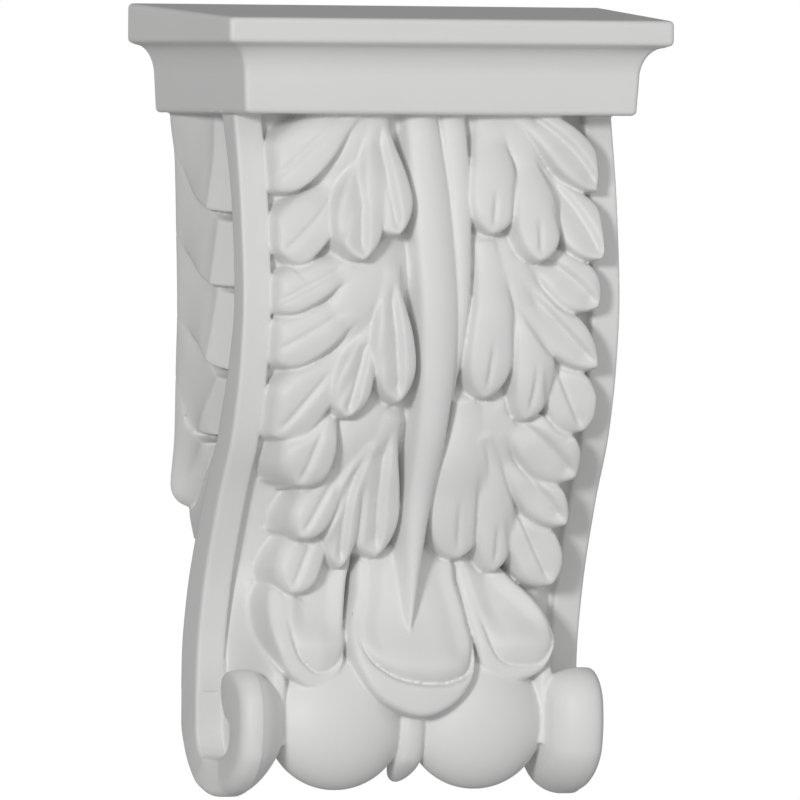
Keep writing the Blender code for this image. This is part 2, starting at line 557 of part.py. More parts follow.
def core_block(skin):
    """Solid block from the wall to just behind the leaves."""
    rings = []
    half = PANEL_HALF_WIDTH
    for drop in steps(CAP_HEIGHT - CLEAR, FOOT_DROP, 56):
        fall = max(0.0, (drop - (FOOT_DROP - FOOT_ROUND)) / FOOT_ROUND)
        fall = FOOT_ROUND * (1 - math.sqrt(max(0.0, 1 - fall * fall)))
        face = float(band_front(drop)) - PANEL_RECESS - fall
        rings.append([(-half, -CLEAR, drop), (-half, face, drop), (half, face, drop), (half, -CLEAR, drop)])
    skin.loft(rings)


def rounded(half_x, half_y, power, count):
    """Closed superellipse as pairs."""
    pairs = []
    for i in range(count):
        a = 2 * math.pi * i / count
        c, s = math.cos(a), math.sin(a)
        pairs.append((half_x * math.copysign(abs(c) ** (2 / power), c),
                      half_y * math.copysign(abs(s) ** (2 / power), s)))
    return pairs


def border_band(skin, side):
    """One S-shaped border, as a strip standing proud of the panel and of the side."""
    rings = []
    for drop in steps(CAP_HEIGHT - CLEAR, SCROLL_OUTSIDE[1][1], 56):
        front, back = float(band_front(drop)), float(band_back(drop))
        ring = []
        for x, y in rounded(BAND_FACE / 2, (front - back) / 2, 9, 24):
            depth = (front + back) / 2 + y
            outer = SIDE_AT_WALL - SIDE_DRAFT * depth
            ring.append((side * (outer - BAND_FACE / 2 + x), depth, drop))
        rings.append(ring)
    skin.loft(rings)


def curl(skin, side):
    """The band's foot, curled forward and up, open to the side."""
    rings = []
    band_depth = (SCROLL_OUTSIDE[0][0] + SCROLL_HOLLOW[0][0]) / 2
    for outside, hollow in zip(spaced(SCROLL_OUTSIDE, 60), spaced(SCROLL_HOLLOW, 60)):
        thick = math.hypot(outside[0] - hollow[0], outside[1] - hollow[1])
        forward = min(1.0, max(0.0, outside[0] / band_depth - 1))
        corner = min(CAP_ARRIS + (SCROLL_CORNER - CAP_ARRIS) * forward, thick * 0.45)
        ring = [(SCROLL_WALL - CLEAR, hollow), (0.0, hollow)]
        for a in steps(0, math.pi / 2, 5):
            ring.append((-corner * (1 - math.cos(a)),
                         between(outside, hollow, corner * (1 - math.sin(a)) / thick)))
        ring.append((SCROLL_WALL - CLEAR, outside))
        points = []
        for across, (depth, drop) in ring:
            if across <= 0:
                across += SIDE_AT_WALL - SIDE_DRAFT * depth - SCROLL_TAPER * forward
            points.append((side * across, depth, drop))
        rings.append(points)
    skin.loft(rings)


def scroll_wall(skin, side):
    """Solid inner half of the scroll, slanting back towards the ball."""
    outline = np.array(spaced(SCROLL_OUTSIDE[1:], 48))
    middle = np.array(SCROLL_MIDDLE)
    far = np.linalg.norm(outline - middle, axis=1)[:, None]
    rings = []
    for across in steps(SCROLL_FLARE, SCROLL_WALL, 10):
        t = (SCROLL_FLAT - across) / (SCROLL_FLAT - SCROLL_FLARE)
        inset = outline - (outline - middle) / far * np.minimum(SCROLL_INSET * t ** SCROLL_INSET_POWER, far * 0.8)
        rings.append([(side * across, float(d), float(t)) for d, t in inset])
    skin.loft(rings)


def ball(skin, side):
    rings = []
    for n in range(1, 24):
        a = math.pi * n / 24
        drop = BALL_AT[2] - BALL_RADII[2] * math.cos(a)
        rings.append([(side * BALL_AT[0] + BALL_RADII[0] * math.sin(a) * math.cos(b),
                       BALL_AT[1] + BALL_RADII[1] * math.sin(a) * math.sin(b), drop)
                      for b in steps(0, 2 * math.pi * 35 / 36, 36)])
    skin.loft(rings)


def tongue(skin):
    """Narrow leaf hanging between the balls and curling back at its tip."""
    rings = []
    count = 22
    for n, (depth, below) in enumerate(spaced(TONGUE_PATH, count)):
        t = n / (count - 1)
        close = math.sqrt(max(0.02, 1 - max(0.0, (t - 0.6) / 0.4) ** 2))
        half = TONGUE_HALF_WIDTH * close
        rings.append([(x, depth - TONGUE_THICKNESS + y, BALL_AT[2] + below)
                      for x, y in rounded(half, TONGUE_THICKNESS * close, 2.6, 20)])
    skin.loft(rings)


def cap_ring(half_at_wall, depth, drop_at_wall, drop_at_front):
    """Outline of the cap at one step of its profile, with rounded front corners."""
    corner = []
    centre_y = depth - CAP_CORNER
    centre_x = half_at_wall - CAP_DRAFT * centre_y - CAP_CORNER
    for a in steps(0, math.pi / 2, 4):
        corner.append((centre_x + CAP_CORNER * math.cos(a), centre_y + CAP_CORNER * math.sin(a)))
    ring = [(half_at_wall, 0.0)] + corner
    ring += [(-x, y) for x, y in reversed(ring)]
    return [(x, y, drop_at_wall + (drop_at_front - drop_at_wall) * y / depth) for x, y in ring]


def cap_block():
    """Moulded cap: fascia, hollow cove and lower band, tapering towards the front."""
    skin = Skin()
    half, depth, fall = CAP_HALF_WIDTH, CAP_DEPTH, CAP_TOP_FALL
    rings = [cap_ring(half - CAP_ARRIS, depth - CAP_ARRIS, 0.0, fall),
             cap_ring(half, depth, CAP_ARRIS, fall + CAP_ARRIS)]
    level = CAP_FASCIA_DROP
    rings.append(cap_ring(half, depth, level - CAP_ARRIS, level - CAP_ARRIS))
    rings.append(cap_ring(half - CAP_ARRIS, depth - CAP_ARRIS, level, level))
    lip = CAP_ARRIS + CAP_LIP
    for a in steps(0, math.pi / 2, 6):
        inset = lip + (CAP_BAND_INSET - lip) * math.sin(a)
        level = CAP_FASCIA_DROP + (CAP_COVE_DROP - CAP_FASCIA_DROP) * (1 - math.cos(a)) + CAP_LIP / 2
        rings.append(cap_ring(half - inset, depth - inset, level, level))
    low = CAP_BAND_INSET + CAP_BAND_STEP
    level = CAP_HEIGHT - CAP_ARRIS
    rings.append(cap_ring(half - low, depth - low, level, level))
    rings.append(cap_ring(half - low - CAP_ARRIS, depth - low - CAP_ARRIS, CAP_HEIGHT, CAP_HEIGHT))
    skin.loft(rings)
    return skin.solid("cap")


def body_block():
    skin = Skin()
    core_block(skin)
    leaves(skin)
    tongue(skin)
    for side in (-1, 1):
        husks(skin, side)
        border_band(skin, side)
        curl(skin, side)
        scroll_wall(skin, side)
        ball(skin, side)
    return skin.solid("body")


def apply_modifier(obj, kind, **settings):
    modifier = obj.modifiers.new(kind.lower(), kind)
    for key, value in settings.items():
        setattr(modifier, key, value)
    bpy.context.view_layer.objects.active = obj
    bpy.ops.object.modifier_apply(modifier=modifier.name)


def box(name, low, high):
    corners = [(x, y, z) for z in (low[2], high[2]) for x, y in
               ((low[0], low[1]), (high[0], low[1]), (high[0], high[1]), (low[0], high[1]))]
    faces = [(3, 2, 1, 0), (4, 5, 6, 7), (0, 1, 5, 4), (1, 2, 6, 5), (2, 3, 7, 6), (3, 0, 4, 7)]
    mesh = bpy.data.meshes.new(name)
    mesh.from_pydata(corners, [], faces)
    obj = bpy.data.objects.new(name, mesh)
    bpy.context.collection.objects.link(obj)
    return obj


def join_cleanly(obj, other, operation):
    apply_modifier(obj, "BOOLEAN", object=other, operation=operation, solver="EXACT")
    bpy.data.objects.remove(other)


def outward(obj):
    bpy.context.view_layer.objects.active = obj
    bpy.ops.object.select_all(action="DESELECT")
    obj.select_set(True)
    bpy.ops.object.mode_set(mode="EDIT")
    bpy.ops.mesh.select_all(action="SELECT")
    bpy.ops.mesh.normals_make_consistent(inside=False)
    bpy.ops.object.mode_set(mode="OBJECT")


def primer(name):
    material = bpy.data.materials.new(name)
    material.use_nodes = True
    shader = material.node_tree.nodes["Principled BSDF"]
    shader.inputs["Base Color"].default_value = (0.80, 0.80, 0.79, 1.0)
    shader.inputs["Roughness"].default_value = 0.55
    return material


def build():
    for obj in list(bpy.data.objects):
        bpy.data.objects.remove(obj)
    body = body_block()
    outward(body)
    apply_modifier(body, "REMESH", mode="VOXEL", voxel_size=GRAIN)
    share = TRIANGLES / sum(len(face.vertices) - 2 for face in body.data.polygons)
    apply_modifier(body, "DECIMATE", ratio=share)
    cap = cap_block()
    outward(cap)
    behind_wall = box("behind_wall", (-HEIGHT, 0.0, -HEIGHT), (HEIGHT, HEIGHT, HEIGHT))
    join_cleanly(body, behind_wall, "DIFFERENCE")
    join_cleanly(body, cap, "UNION")
    body.name = "leaf_corbel"
    body.data.materials.clear()
    body.data.materials.append(primer("white_primer"))


build()
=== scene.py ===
"""Leaf corbel, dressed: the fine carving, the white primer, the studio light and the camera.

Metres. X runs across, the wall is the plane Y = 0, the front faces -Y and Z is up.
Sizes are given as across (from the middle), depth (out from the wall) and drop (down from the top).
"""
import math
from collections import namedtuple

import bmesh
import bpy
import numpy as np
from mathutils import Matrix, Vector


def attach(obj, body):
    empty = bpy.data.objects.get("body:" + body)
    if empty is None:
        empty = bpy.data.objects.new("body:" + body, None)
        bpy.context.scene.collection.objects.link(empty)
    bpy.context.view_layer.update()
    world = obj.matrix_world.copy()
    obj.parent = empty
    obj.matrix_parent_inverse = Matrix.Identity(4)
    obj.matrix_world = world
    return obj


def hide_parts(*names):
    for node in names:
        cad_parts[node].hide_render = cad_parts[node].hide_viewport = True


# whole piece: height, mesh grain, grid of the carved fields, overlaps at the wall and under the cap
HEIGHT = 0.330
GRAIN = 0.00065
GRID = 0.0005
TRIANGLES = 190000
BEHIND = 0.002
UNDER_CAP = 0.004
SOFTEN_CELLS = 0.7

# how finely the shells are drawn: rings along them, points around them and steps in their curves
RINGS = 90
BAND_POINTS = 44
CURL_CORNER_STEPS = 7
SCROLL_POINTS = 60
SCROLL_RINGS = 14
BALL_ROWS = 48
BALL_COLUMNS = 64
TONGUE_RINGS = 40
TONGUE_POINTS = 28
CAP_CORNER_STEPS = 6
CAP_ARRIS_STEPS = 5
CAP_COVE_STEPS = 12
LOBE_STEPS = 61

# cap
CAP_DRAFT = 0.077
CAP_TOP_FALL = 0.0058
CAP_HALF_WIDTH = 0.1062
CAP_DEPTH = 0.1045
CAP_BAND_INSET = 0.0117
CAP_FASCIA_DROP = 0.0166
CAP_COVE_DROP = 0.0300
CAP_HEIGHT = 0.0455
CAP_ARRIS = 0.0020
CAP_CORNER = 0.0022
CAP_COVE_STEP = 0.0012
CAP_COVE_DOWN = 0.0006
CAP_BAND_STEP = 0.0008

# border bands: depth of the front face and thickness of the band, both by drop
BAND_FRONT = ((0.030, 0.0660), (0.047, 0.0700), (0.084, 0.0780), (0.123, 0.0820), (0.149, 0.0790),
              (0.177, 0.0710), (0.207, 0.0547), (0.246, 0.0382), (0.274, 0.0323), (0.305, 0.0312))
BAND_THICKNESS = ((0.030, 0.0170), (0.084, 0.0115), (0.123, 0.0120), (0.177, 0.0180), (0.246, 0.0200),
                  (0.305, 0.0190))
BAND_FACE = 0.0125
SIDE_AT_WALL = 0.0860
SIDE_DRAFT = 0.030
BAND_SQUARENESS = 10

# block behind the leaves: narrower down to the end of the husk slots, so that they can be deep
PANEL_HALF_WIDTH = 0.0745
CORE_HALF_WIDTH = 0.0520
SLOTS_END = 0.1900
PANEL_RECESS = 0.0065
PANEL_SWELL = 0.0040
PANEL_SWELL_SHARE = 0.4
FOOT_DROP = 0.3120
FOOT_ROUND = 0.0200

# scrolls: depth and drop of the curl's outside and of the open hollow inside it, from band to head
SCROLL_OUTSIDE = ((0.0134, 0.2740), (0.0128, 0.2860), (0.0128, 0.3000), (0.0170, 0.3110), (0.0280, 0.3235),
                  (0.0420, 0.3300), (0.0560, 0.3278), (0.0690, 0.3212), (0.0765, 0.3110), (0.0783, 0.2990),
                  (0.0775, 0.2895), (0.0742, 0.2825), (0.0690, 0.2782), (0.0630, 0.2762), (0.0575, 0.2772))
SCROLL_HOLLOW = ((0.0316, 0.2740), (0.0314, 0.2860), (0.0314, 0.3000), (0.0330, 0.3080), (0.0385, 0.3135),
                 (0.0450, 0.3142), (0.0520, 0.3128), (0.0575, 0.3095), (0.0605, 0.3045), (0.0600, 0.2990),
                 (0.0545, 0.2955), (0.0512, 0.2905), (0.0500, 0.2855), (0.0512, 0.2810), (0.0550, 0.2785))
SCROLL_FLAT = 0.0740
SCROLL_FLARE = 0.0585
SCROLL_INSET = 0.0145
SCROLL_INSET_POWER = 1.7
SCROLL_CORNER = 0.0060
SCROLL_TAPER = 0.0030
SCROLL_WALL = 0.0730
SCROLL_MIDDLE = (0.040, 0.300)
CURL_EDGE = 0.0018
CURL_INNER_EDGE = (0.0008, 0.0012)
CURL_FORWARD_FROM = 0.030
CURL_FORWARD_OVER = 0.020
CURL_OVERLAP = 0.001
CURL_CORNER_MOST = 0.45
SCROLL_INSET_MOST = 0.8

# panel beside the cups, which swells forward into the scroll: its rise by drop, then where it swells
SWELL_RISE = ((0.205, -0.0065), (0.230, -0.0055), (0.244, 0.0000), (0.258, 0.0100), (0.270, 0.0200),
              (0.280, 0.0280), (0.308, 0.0280))
SWELL_FROM = 0.0460
SWELL_TO = 0.0740
SWELL_IN_OVER = 0.012
SWELL_OUT_OVER = 0.013

# balls, and the tongue between them: its path as depth and drop
BALL_AT = (0.0310, 0.0520, 0.2985)
BALL_RADII = (0.0300, 0.0190, 0.0287)
TONGUE_HALF_WIDTH = 0.0062
TONGUE_PATH = ((0.0620, 0.285), (0.0650, 0.300), (0.0610, 0.314), (0.0500, 0.3245))
TONGUE_THICKNESS = 0.0090
TONGUE_TIP_FROM = 0.6
TONGUE_TIP_LEFT = 0.02
TONGUE_SQUARENESS = 2.6

# stem: across, drop, half width and rise above the bands, then how far its crown stands up
STEM_MAIN = ((-0.0060, 0.030, 0.0069, 0.0135), (-0.0030, 0.100, 0.0088, 0.0150),
             (-0.0006, 0.160, 0.0074, 0.0160), (-0.0016, 0.205, 0.0054, 0.0210),
             (-0.0024, 0.240, 0.0034, 0.0290), (-0.0040, 0.268, 0.0010, 0.0350))
STEM_SIDE = ((0.0080, 0.030, 0.0064, 0.0130), (0.0094, 0.080, 0.0052, 0.0135),
             (0.0090, 0.120, 0.0040, 0.0130), (0.0078, 0.165, 0.0012, 0.0090))
STEM_MAIN_CROWN = 0.0030
STEM_SIDE_CROWN = 0.0022
STEM_EDGE = 0.0020
STEM_REACH = 0.03
STEM_CROWN_MOST = 1.5

# lobe cross-sections: crease place, line depth, hollow depth and side, start, point, outward edge, tilt
Form = namedtuple("Form", "crease line hollow turn start point flank tilt")
FLAT = Form(0.0, 0.0010, 0.0003, -1, 0.05, 0.45, 0.0040, 0.0024)
BROAD = Form(0.10, 0.0011, 0.0010, -1, 0.05, 0.45, 0.0040, 0.0020)
BLUNT = Form(0.10, 0.0011, 0.0006, -1, 0.05, 0.36, 0.0030, 0.0010)
DROOPING = Form(0.10, 0.0011, 0.0009, -1, 0.25, 0.52, 0.0060, 0.0016)
SPOON = Form(0.12, 0.0012, 0.0034, -1, 0.05, 0.62, 0.0022, 0.0)
KEELED = Form(-0.10, 0.0010, 0.0030, 1, 0.05, 0.66, 0.0019, 0.0)
SPLIT = Form(0.10, 0.0012, 0.0016, -1, 0.10, 0.55, 0.0019, 0.0)
FINGER = Form(0.05, 0.0012, 0.0006, -1, 0.58, 0.55, 0.0022, 0.0)

# leaf lobes: root, middle and tip as outward and drop, half width, rise at both ends, cross-section
Lobe = namedtuple("Lobe", "root middle tip half root_rise tip_rise form")
LEFT_LOBES = (
    Lobe((0.0330, 0.0390), (0.0530, 0.0560), (0.0735, 0.0752), 0.0112, 0.0185, 0.0085, FLAT),
    Lobe((0.0400, 0.0720), (0.0530, 0.0865), (0.0700, 0.1030), 0.0118, 0.0110, 0.0100, BLUNT),
    Lobe((0.0262, 0.0588), (0.0362, 0.0838), (0.0372, 0.1062), 0.0106, 0.0140, 0.0230, SPOON),
    Lobe((0.0240, 0.0450), (0.0250, 0.0725), (0.0210, 0.0958), 0.0106, 0.0170, 0.0225, SPOON),
    Lobe((0.0335, 0.1060), (0.0525, 0.1130), (0.0735, 0.1245), 0.0092, 0.0130, 0.0085, BROAD),
    Lobe((0.0320, 0.1205), (0.0505, 0.1318), (0.0730, 0.1452), 0.0112, 0.0125, 0.0090, FLAT),
    Lobe((0.0375, 0.1400), (0.0545, 0.1585), (0.0700, 0.1790), 0.0122, 0.0130, 0.0135, DROOPING),
    Lobe((0.0285, 0.1345), (0.0365, 0.1512), (0.0408, 0.1715), 0.0086, 0.0150, 0.0205, SPOON),
    Lobe((0.0215, 0.1100), (0.0218, 0.1348), (0.0182, 0.1655), 0.0094, 0.0160, 0.0190, SPOON),
    Lobe((0.0455, 0.1640), (0.0525, 0.1812), (0.0585, 0.2000), 0.0120, 0.0140, 0.0225, DROOPING),
    Lobe((0.0322, 0.1840), (0.0440, 0.2035), (0.0545, 0.2215), 0.0094, 0.0095, 0.0265, DROOPING),
    Lobe((0.0385, 0.2070), (0.0474, 0.2258), (0.0552, 0.2446), 0.0102, 0.0105, 0.0265, DROOPING),
    Lobe((0.0251, 0.1839), (0.0335, 0.2074), (0.0317, 0.2345), 0.0076, 0.0170, 0.0220, SPOON),
    Lobe((0.0175, 0.1719), (0.0205, 0.2010), (0.0172, 0.2301), 0.0112, 0.0150, 0.0220, SPOON),
)
RIGHT_LOBES = (
    Lobe((0.0330, 0.0400), (0.0560, 0.0575), (0.0715, 0.0775), 0.0098, 0.0190, 0.0150, KEELED),
    Lobe((0.0500, 0.0690), (0.0605, 0.0870), (0.0695, 0.1056), 0.0112, 0.0110, 0.0200, KEELED),
    Lobe((0.0368, 0.0560), (0.0415, 0.0825), (0.0400, 0.1064), 0.0098, 0.0140, 0.0240, FINGER),
    Lobe((0.0238, 0.0441), (0.0243, 0.0700), (0.0216, 0.0952), 0.0103, 0.0160, 0.0185, FINGER),
    Lobe((0.0380, 0.1000), (0.0545, 0.1120), (0.0694, 0.1256), 0.0110, 0.0130, 0.0155, KEELED),
    Lobe((0.0278, 0.1058), (0.0485, 0.1306), (0.0694, 0.1505), 0.0098, 0.0120, 0.0190, KEELED),
    Lobe((0.0469, 0.1378), (0.0560, 0.1563), (0.0662, 0.1772), 0.0112, 0.0120, 0.0185, SPLIT),
    Lobe((0.0275, 0.1104), (0.0405, 0.1419), (0.0385, 0.1725), 0.0092, 0.0150, 0.0205, FINGER),
    Lobe((0.0203, 0.0985), (0.0222, 0.1316), (0.0201, 0.1635), 0.0103, 0.0160, 0.0185, FINGER),
    Lobe((0.0300, 0.1660), (0.0475, 0.1810), (0.0655, 0.1970), 0.0115, 0.0140, 0.0220, KEELED),
    Lobe((0.0310, 0.1790), (0.0480, 0.2000), (0.0644, 0.2165), 0.0090, 0.0150, 0.0260, KEELED),
    Lobe((0.0375, 0.1985), (0.0500, 0.2198), (0.0622, 0.2420), 0.0102, 0.0160, 0.0255, SPLIT),
    Lobe((0.0230, 0.1800), (0.0332, 0.2080), (0.0362, 0.2364), 0.0086, 0.0170, 0.0220, FINGER),
    Lobe((0.0153, 0.1649), (0.0160, 0.1971), (0.0198, 0.2308), 0.0130, 0.0150, 0.0220, FINGER),
)
LOBE_CROWN = 0.0022
LOBE_EDGE = 0.0019
LOBE_SINK = 0.0060
LOBE_LIMIT = 0.0712
LOBE_LIMIT_BLEND = 0.003
LOBE_LINE_WIDTH = 0.0010
LOBE_LEAST_HALF = 0.002
LOBE_REACH = 1.1
WALL_SLOPE = 11.0

# outline of a lobe, as shares of its length and of its half width
LOBE_ROOT_SHARE = 0.48
LOBE_GROW_FROM = -0.04
LOBE_GROW_OVER = 0.72
LOBE_CLOSE_FROM = 0.70
LOBE_CLOSE_EARLIER = 0.6
LOBE_TIP_POWER = 2.3
LOBE_PLAIN_POINT = 0.5

# face of a lobe, as shares of its length and of its half width
LOBE_HOLLOW_RIM = 0.86
LOBE_BULGE = 0.16
LOBE_HOLLOW_FADE = 0.25
LOBE_HOLLOW_END = 0.99
LOBE_HOLLOW_CLOSE = 0.14
LOBE_LINE_FADE = 0.20
LOBE_LINE_END = 0.97
LOBE_LINE_CLOSE = 0.12
LOBE_FLANK_FROM = 0.4
LOBE_FLANK_OVER = 0.8
LOBE_RISE_POWER = 1.4
LOBE_SINK_OVER = 0.5
LOBE_ROOT_SLOPE = 1.2
LOBE_WIDEST_SHARE = 1.2
LOBE_FARTHEST_SHARE = 1.05

# nose of a lobe: how far its tip turns down, and from which share of its length
LOBE_NOSE = 0.0032
LOBE_NOSE_FROM = 0.72
LOBE_NOSE_MOST = 1.2

# joins: how softly each form meets the one below, and the groove around its edge
BLEND = 0.0004
LOBE_TIP_BLEND = 0.0003
LOBE_ROOT_BLEND = 0.0045
LOBE_ROOT_BLEND_OVER = 0.6
GROOVE = 0.0026
GROOVE_WIDTH = 0.0016
GROOVE_FROM = 0.15
GROOVE_OVER = 0.4
AROUND = 0.006

# soft masses behind the lobes: middle as outward and drop, half sizes, lean and rise
Mass = namedtuple("Mass", "middle half_out half_drop lean rise")
MASSES = (
    Mass((0.034, 0.050), 0.030, 0.032, 0.50, 0.0125),
    Mass((0.034, 0.118), 0.030, 0.036, 0.50, 0.0115),
    Mass((0.030, 0.184), 0.026, 0.038, 0.50, 0.0110),
)
MASS_ROUNDNESS = 2.5
MASS_REACH = 1.4
MASS_BLEND = 0.004

# carved front: where its field starts and ends, how far it runs into the bands and its backing
CARVING_TOP = 0.036
CARVING_FOOT = 0.3080
CARVING_OVERLAP = 0.0045
CARVING_BACKING = 0.012
CARVING_LEAST = 0.003

# cupped leaves: outline and dish as outward and drop, rise by drop, dome, rim, crease, fall at the foot
Cup = namedtuple("Cup", "outline dish rise dome rim crease fall")
CENTRE_CUP = Cup(
    ((-0.018, 0.226), (-0.0248, 0.246), (-0.0290, 0.262), (-0.0272, 0.276), (-0.0181, 0.2895),
     (0.0000, 0.2965), (0.0165, 0.2893), (0.0252, 0.2740), (0.0244, 0.256), (0.0210, 0.240),
     (0.017, 0.226)),
    ((-0.016, 0.226), (-0.0218, 0.246), (-0.0255, 0.262), (-0.0220, 0.2725), (-0.0111, 0.2800),
     (0.0010, 0.2826), (0.0130, 0.2822), (0.0230, 0.2760), (0.0239, 0.256), (0.0205, 0.240),
     (0.017, 0.226)),
    ((0.226, 0.0150), (0.240, 0.0230), (0.255, 0.0315), (0.268, 0.0410), (0.282, 0.0470), (0.297, 0.0490)),
    0.0060, 0.0030, 0.0012, 0.0105)
RIGHT_CUP = Cup(
    ((0.016, 0.226), (0.0205, 0.240), (0.0240, 0.2557), (0.0272, 0.268), (0.0312, 0.2782), (0.0440, 0.2822),
     (0.0560, 0.2780), (0.0625, 0.2680), (0.0620, 0.2570), (0.0560, 0.2470), (0.0478, 0.2394),
     (0.034, 0.228)),
    ((0.021, 0.226), (0.0258, 0.240), (0.0300, 0.2560), (0.0338, 0.268), (0.0392, 0.2742), (0.0480, 0.2757),
     (0.0560, 0.2745), (0.0615, 0.2670), (0.0612, 0.2570), (0.0555, 0.2475), (0.0474, 0.2400),
     (0.036, 0.228)),
    ((0.226, 0.0110), (0.240, 0.0170), (0.255, 0.0270), (0.268, 0.0350), (0.285, 0.0365)),
    0.0030, 0.0036, 0.0004, 0.0045)
LEFT_CUP = Cup(
    ((0.0240, 0.226), (0.0262, 0.240), (0.0294, 0.2557), (0.0305, 0.268), (0.0340, 0.2800),
     (0.0432, 0.2853), (0.0530, 0.2810), (0.0594, 0.2731), (0.0633, 0.2600), (0.0622, 0.2440),
     (0.0520, 0.232), (0.036, 0.226)),
    ((0.0242, 0.226), (0.0268, 0.240), (0.0300, 0.2557), (0.0312, 0.268), (0.0350, 0.2752),
     (0.0425, 0.2784), (0.0490, 0.2750), (0.0535, 0.2680), (0.0555, 0.2580), (0.0540, 0.2450),
     (0.0480, 0.235), (0.036, 0.228)),
    ((0.226, 0.0110), (0.240, 0.0170), (0.255, 0.0270), (0.268, 0.0350), (0.286, 0.0365)),
    0.0030, 0.0036, 0.0004, 0.0045)
CUP_EDGE = 0.0030
CUP_BOWL = 0.0090
CUP_TURN = 0.0180
CUP_LIP = 0.30
CUP_CREASE_WIDTH = 0.0010
CUP_LOW_FROM = 0.034
CUP_LOW_OVER = 0.016
CUP_DOME_OVER = 0.020
CUP_DOME_LOW = 0.7
CUP_WALL_SLOPE = 20.0

# husks on the sides: lower edge of each as depth and drop, then the depth of its ridge by drop
HUSK_EDGES = (
    ((0.0, 0.0600), (0.0022, 0.0650), (0.009, 0.0718), (0.0167, 0.0804), (0.0238, 0.0838), (0.031, 0.0864),
     (0.042, 0.0872), (0.085, 0.0872)),
    ((0.0, 0.0965), (0.0030, 0.0997), (0.009, 0.1044), (0.0153, 0.1091), (0.0280, 0.1159), (0.033, 0.1176),
     (0.044, 0.1182), (0.085, 0.1182)),
    ((0.0, 0.1305), (0.0030, 0.1335), (0.012, 0.1386), (0.0215, 0.1438), (0.0280, 0.1493), (0.034, 0.1520),
     (0.044, 0.1530), (0.085, 0.1530)),
    ((0.0, 0.1560), (0.0020, 0.1596), (0.006, 0.1669), (0.0078, 0.1746), (0.0100, 0.1776), (0.0165, 0.1792),
     (0.027, 0.1797), (0.085, 0.1797)),
    ((0.0, 0.2105), (0.0040, 0.2100), (0.009, 0.2065), (0.0160, 0.1990), (0.0300, 0.1850), (0.085, 0.130)),
)
HUSK_RIDGES = (
    ((0.045, 0.033), (0.066, 0.032), (0.087, 0.030)),
    ((0.087, 0.0347), (0.117, 0.033)),
    ((0.117, 0.031), (0.151, 0.0285)),
    ((0.151, 0.038), (0.179, 0.017)),
    ((0.179, 0.030), (0.210, 0.009)),
)
HUSK_FACETS = (0.70, 0.70, 0.70, 0.45, 0.30)
HUSK_RISE = ((0.041, 0.0130), (0.047, 0.0128), (0.065, 0.0107), (0.095, 0.0098), (0.130, 0.0091),
             (0.150, 0.0095), (0.180, 0.0099), (0.200, 0.0115), (0.215, 0.0120))
HUSK_SHOULDER = 0.0070
HUSK_SHOULDER_POWER = 0.8
HUSK_FACET_FALL = 0.0078
HUSK_LIFT = 0.0045
HUSK_LIFT_FROM = 0.004
HUSK_LIFT_OVER = 0.022
HUSK_LENGTH = 0.0320
HUSK_LENGTH_MOST = 1.5
HUSK_EDGE = 0.0014
HUSK_FOOT = 0.0100
HUSK_COVER = 0.0120
HUSK_WALL_SLOPE = 4.0
HUSK_LOWEST = 0.008
HUSK_BLEND = 0.0003
HUSK_COLUMNS = 150
HUSK_STOP = 0.010
HUSK_SLAB = 0.024

# slots under the husks, which open from the ridge forwards
HUSK_SLOT = 0.0030
HUSK_SLOT_DEPTH = 0.0200
HUSK_SLOT_LENGTH = 0.0180
HUSK_SLOT_START = 0.50
HUSK_SLOT_ROOF = 0.0006
HUSK_SLOT_FLOOR = 0.0008

# side of the block in front of the last husk and below it: how far it stands out by drop
HUSK_NECK = ((0.2050, 0.0030), (0.2115, 0.0030), (0.2240, 0.0008))

# primer and floor
PRIMER_ROUGHNESS = 0.5
PRIMER_SPECULAR = 0.4
PRIMER_DARKER = (0.775, 0.775, 0.77, 1.0)
PRIMER_LIGHTER = (0.805, 0.805, 0.80, 1.0)
MOTTLE_SCALE = 18.0
MOTTLE_DETAIL = 4.0
GRAIN_SCALE = 900.0
GRAIN_DETAIL = 3.0
GRAIN_STRENGTH = 0.12
GRAIN_DEPTH = 0.0004
FLOOR_HALF = 3
FLOOR_LEVEL = -0.9
FLOOR_COLOUR = (0.85, 0.85, 0.85, 1.0)
FLOOR_ROUGHNESS = 0.8

# lights: degrees to the left of the front, degrees above, strength, spread in degrees
LIGHTS = (
    ("key_light", 40, 10, 1.28, 9),
    ("front_light", 2, 13, 0.96, 95),
    ("side_fill", -70, 0, 0.22, 40),
)
WHITE = (1.0, 1.0, 1.0, 1.0)
SURROUND_LIGHT = 0.16
SURROUND_SEEN = 1.0

# camera: degrees to the left of the front and above, roll in radians, where it aims and how far off
CAMERA_LEFT = 20.5
CAMERA_ABOVE = 1.2
CAMERA_ROLL = 0.0075
CAMERA_AIM = (0.0, -0.045, 0.0)
CAMERA_DISTANCE = 6.0
PIXELS_PER_METRE = 2395.0
PICTURE_WIDTH = 800
PICTURE_SHIFT = (-1.2, 0.5)
SENSOR_WIDTH = 36.0
FAR_CLIP = 100.0

TOP = HEIGHT / 2


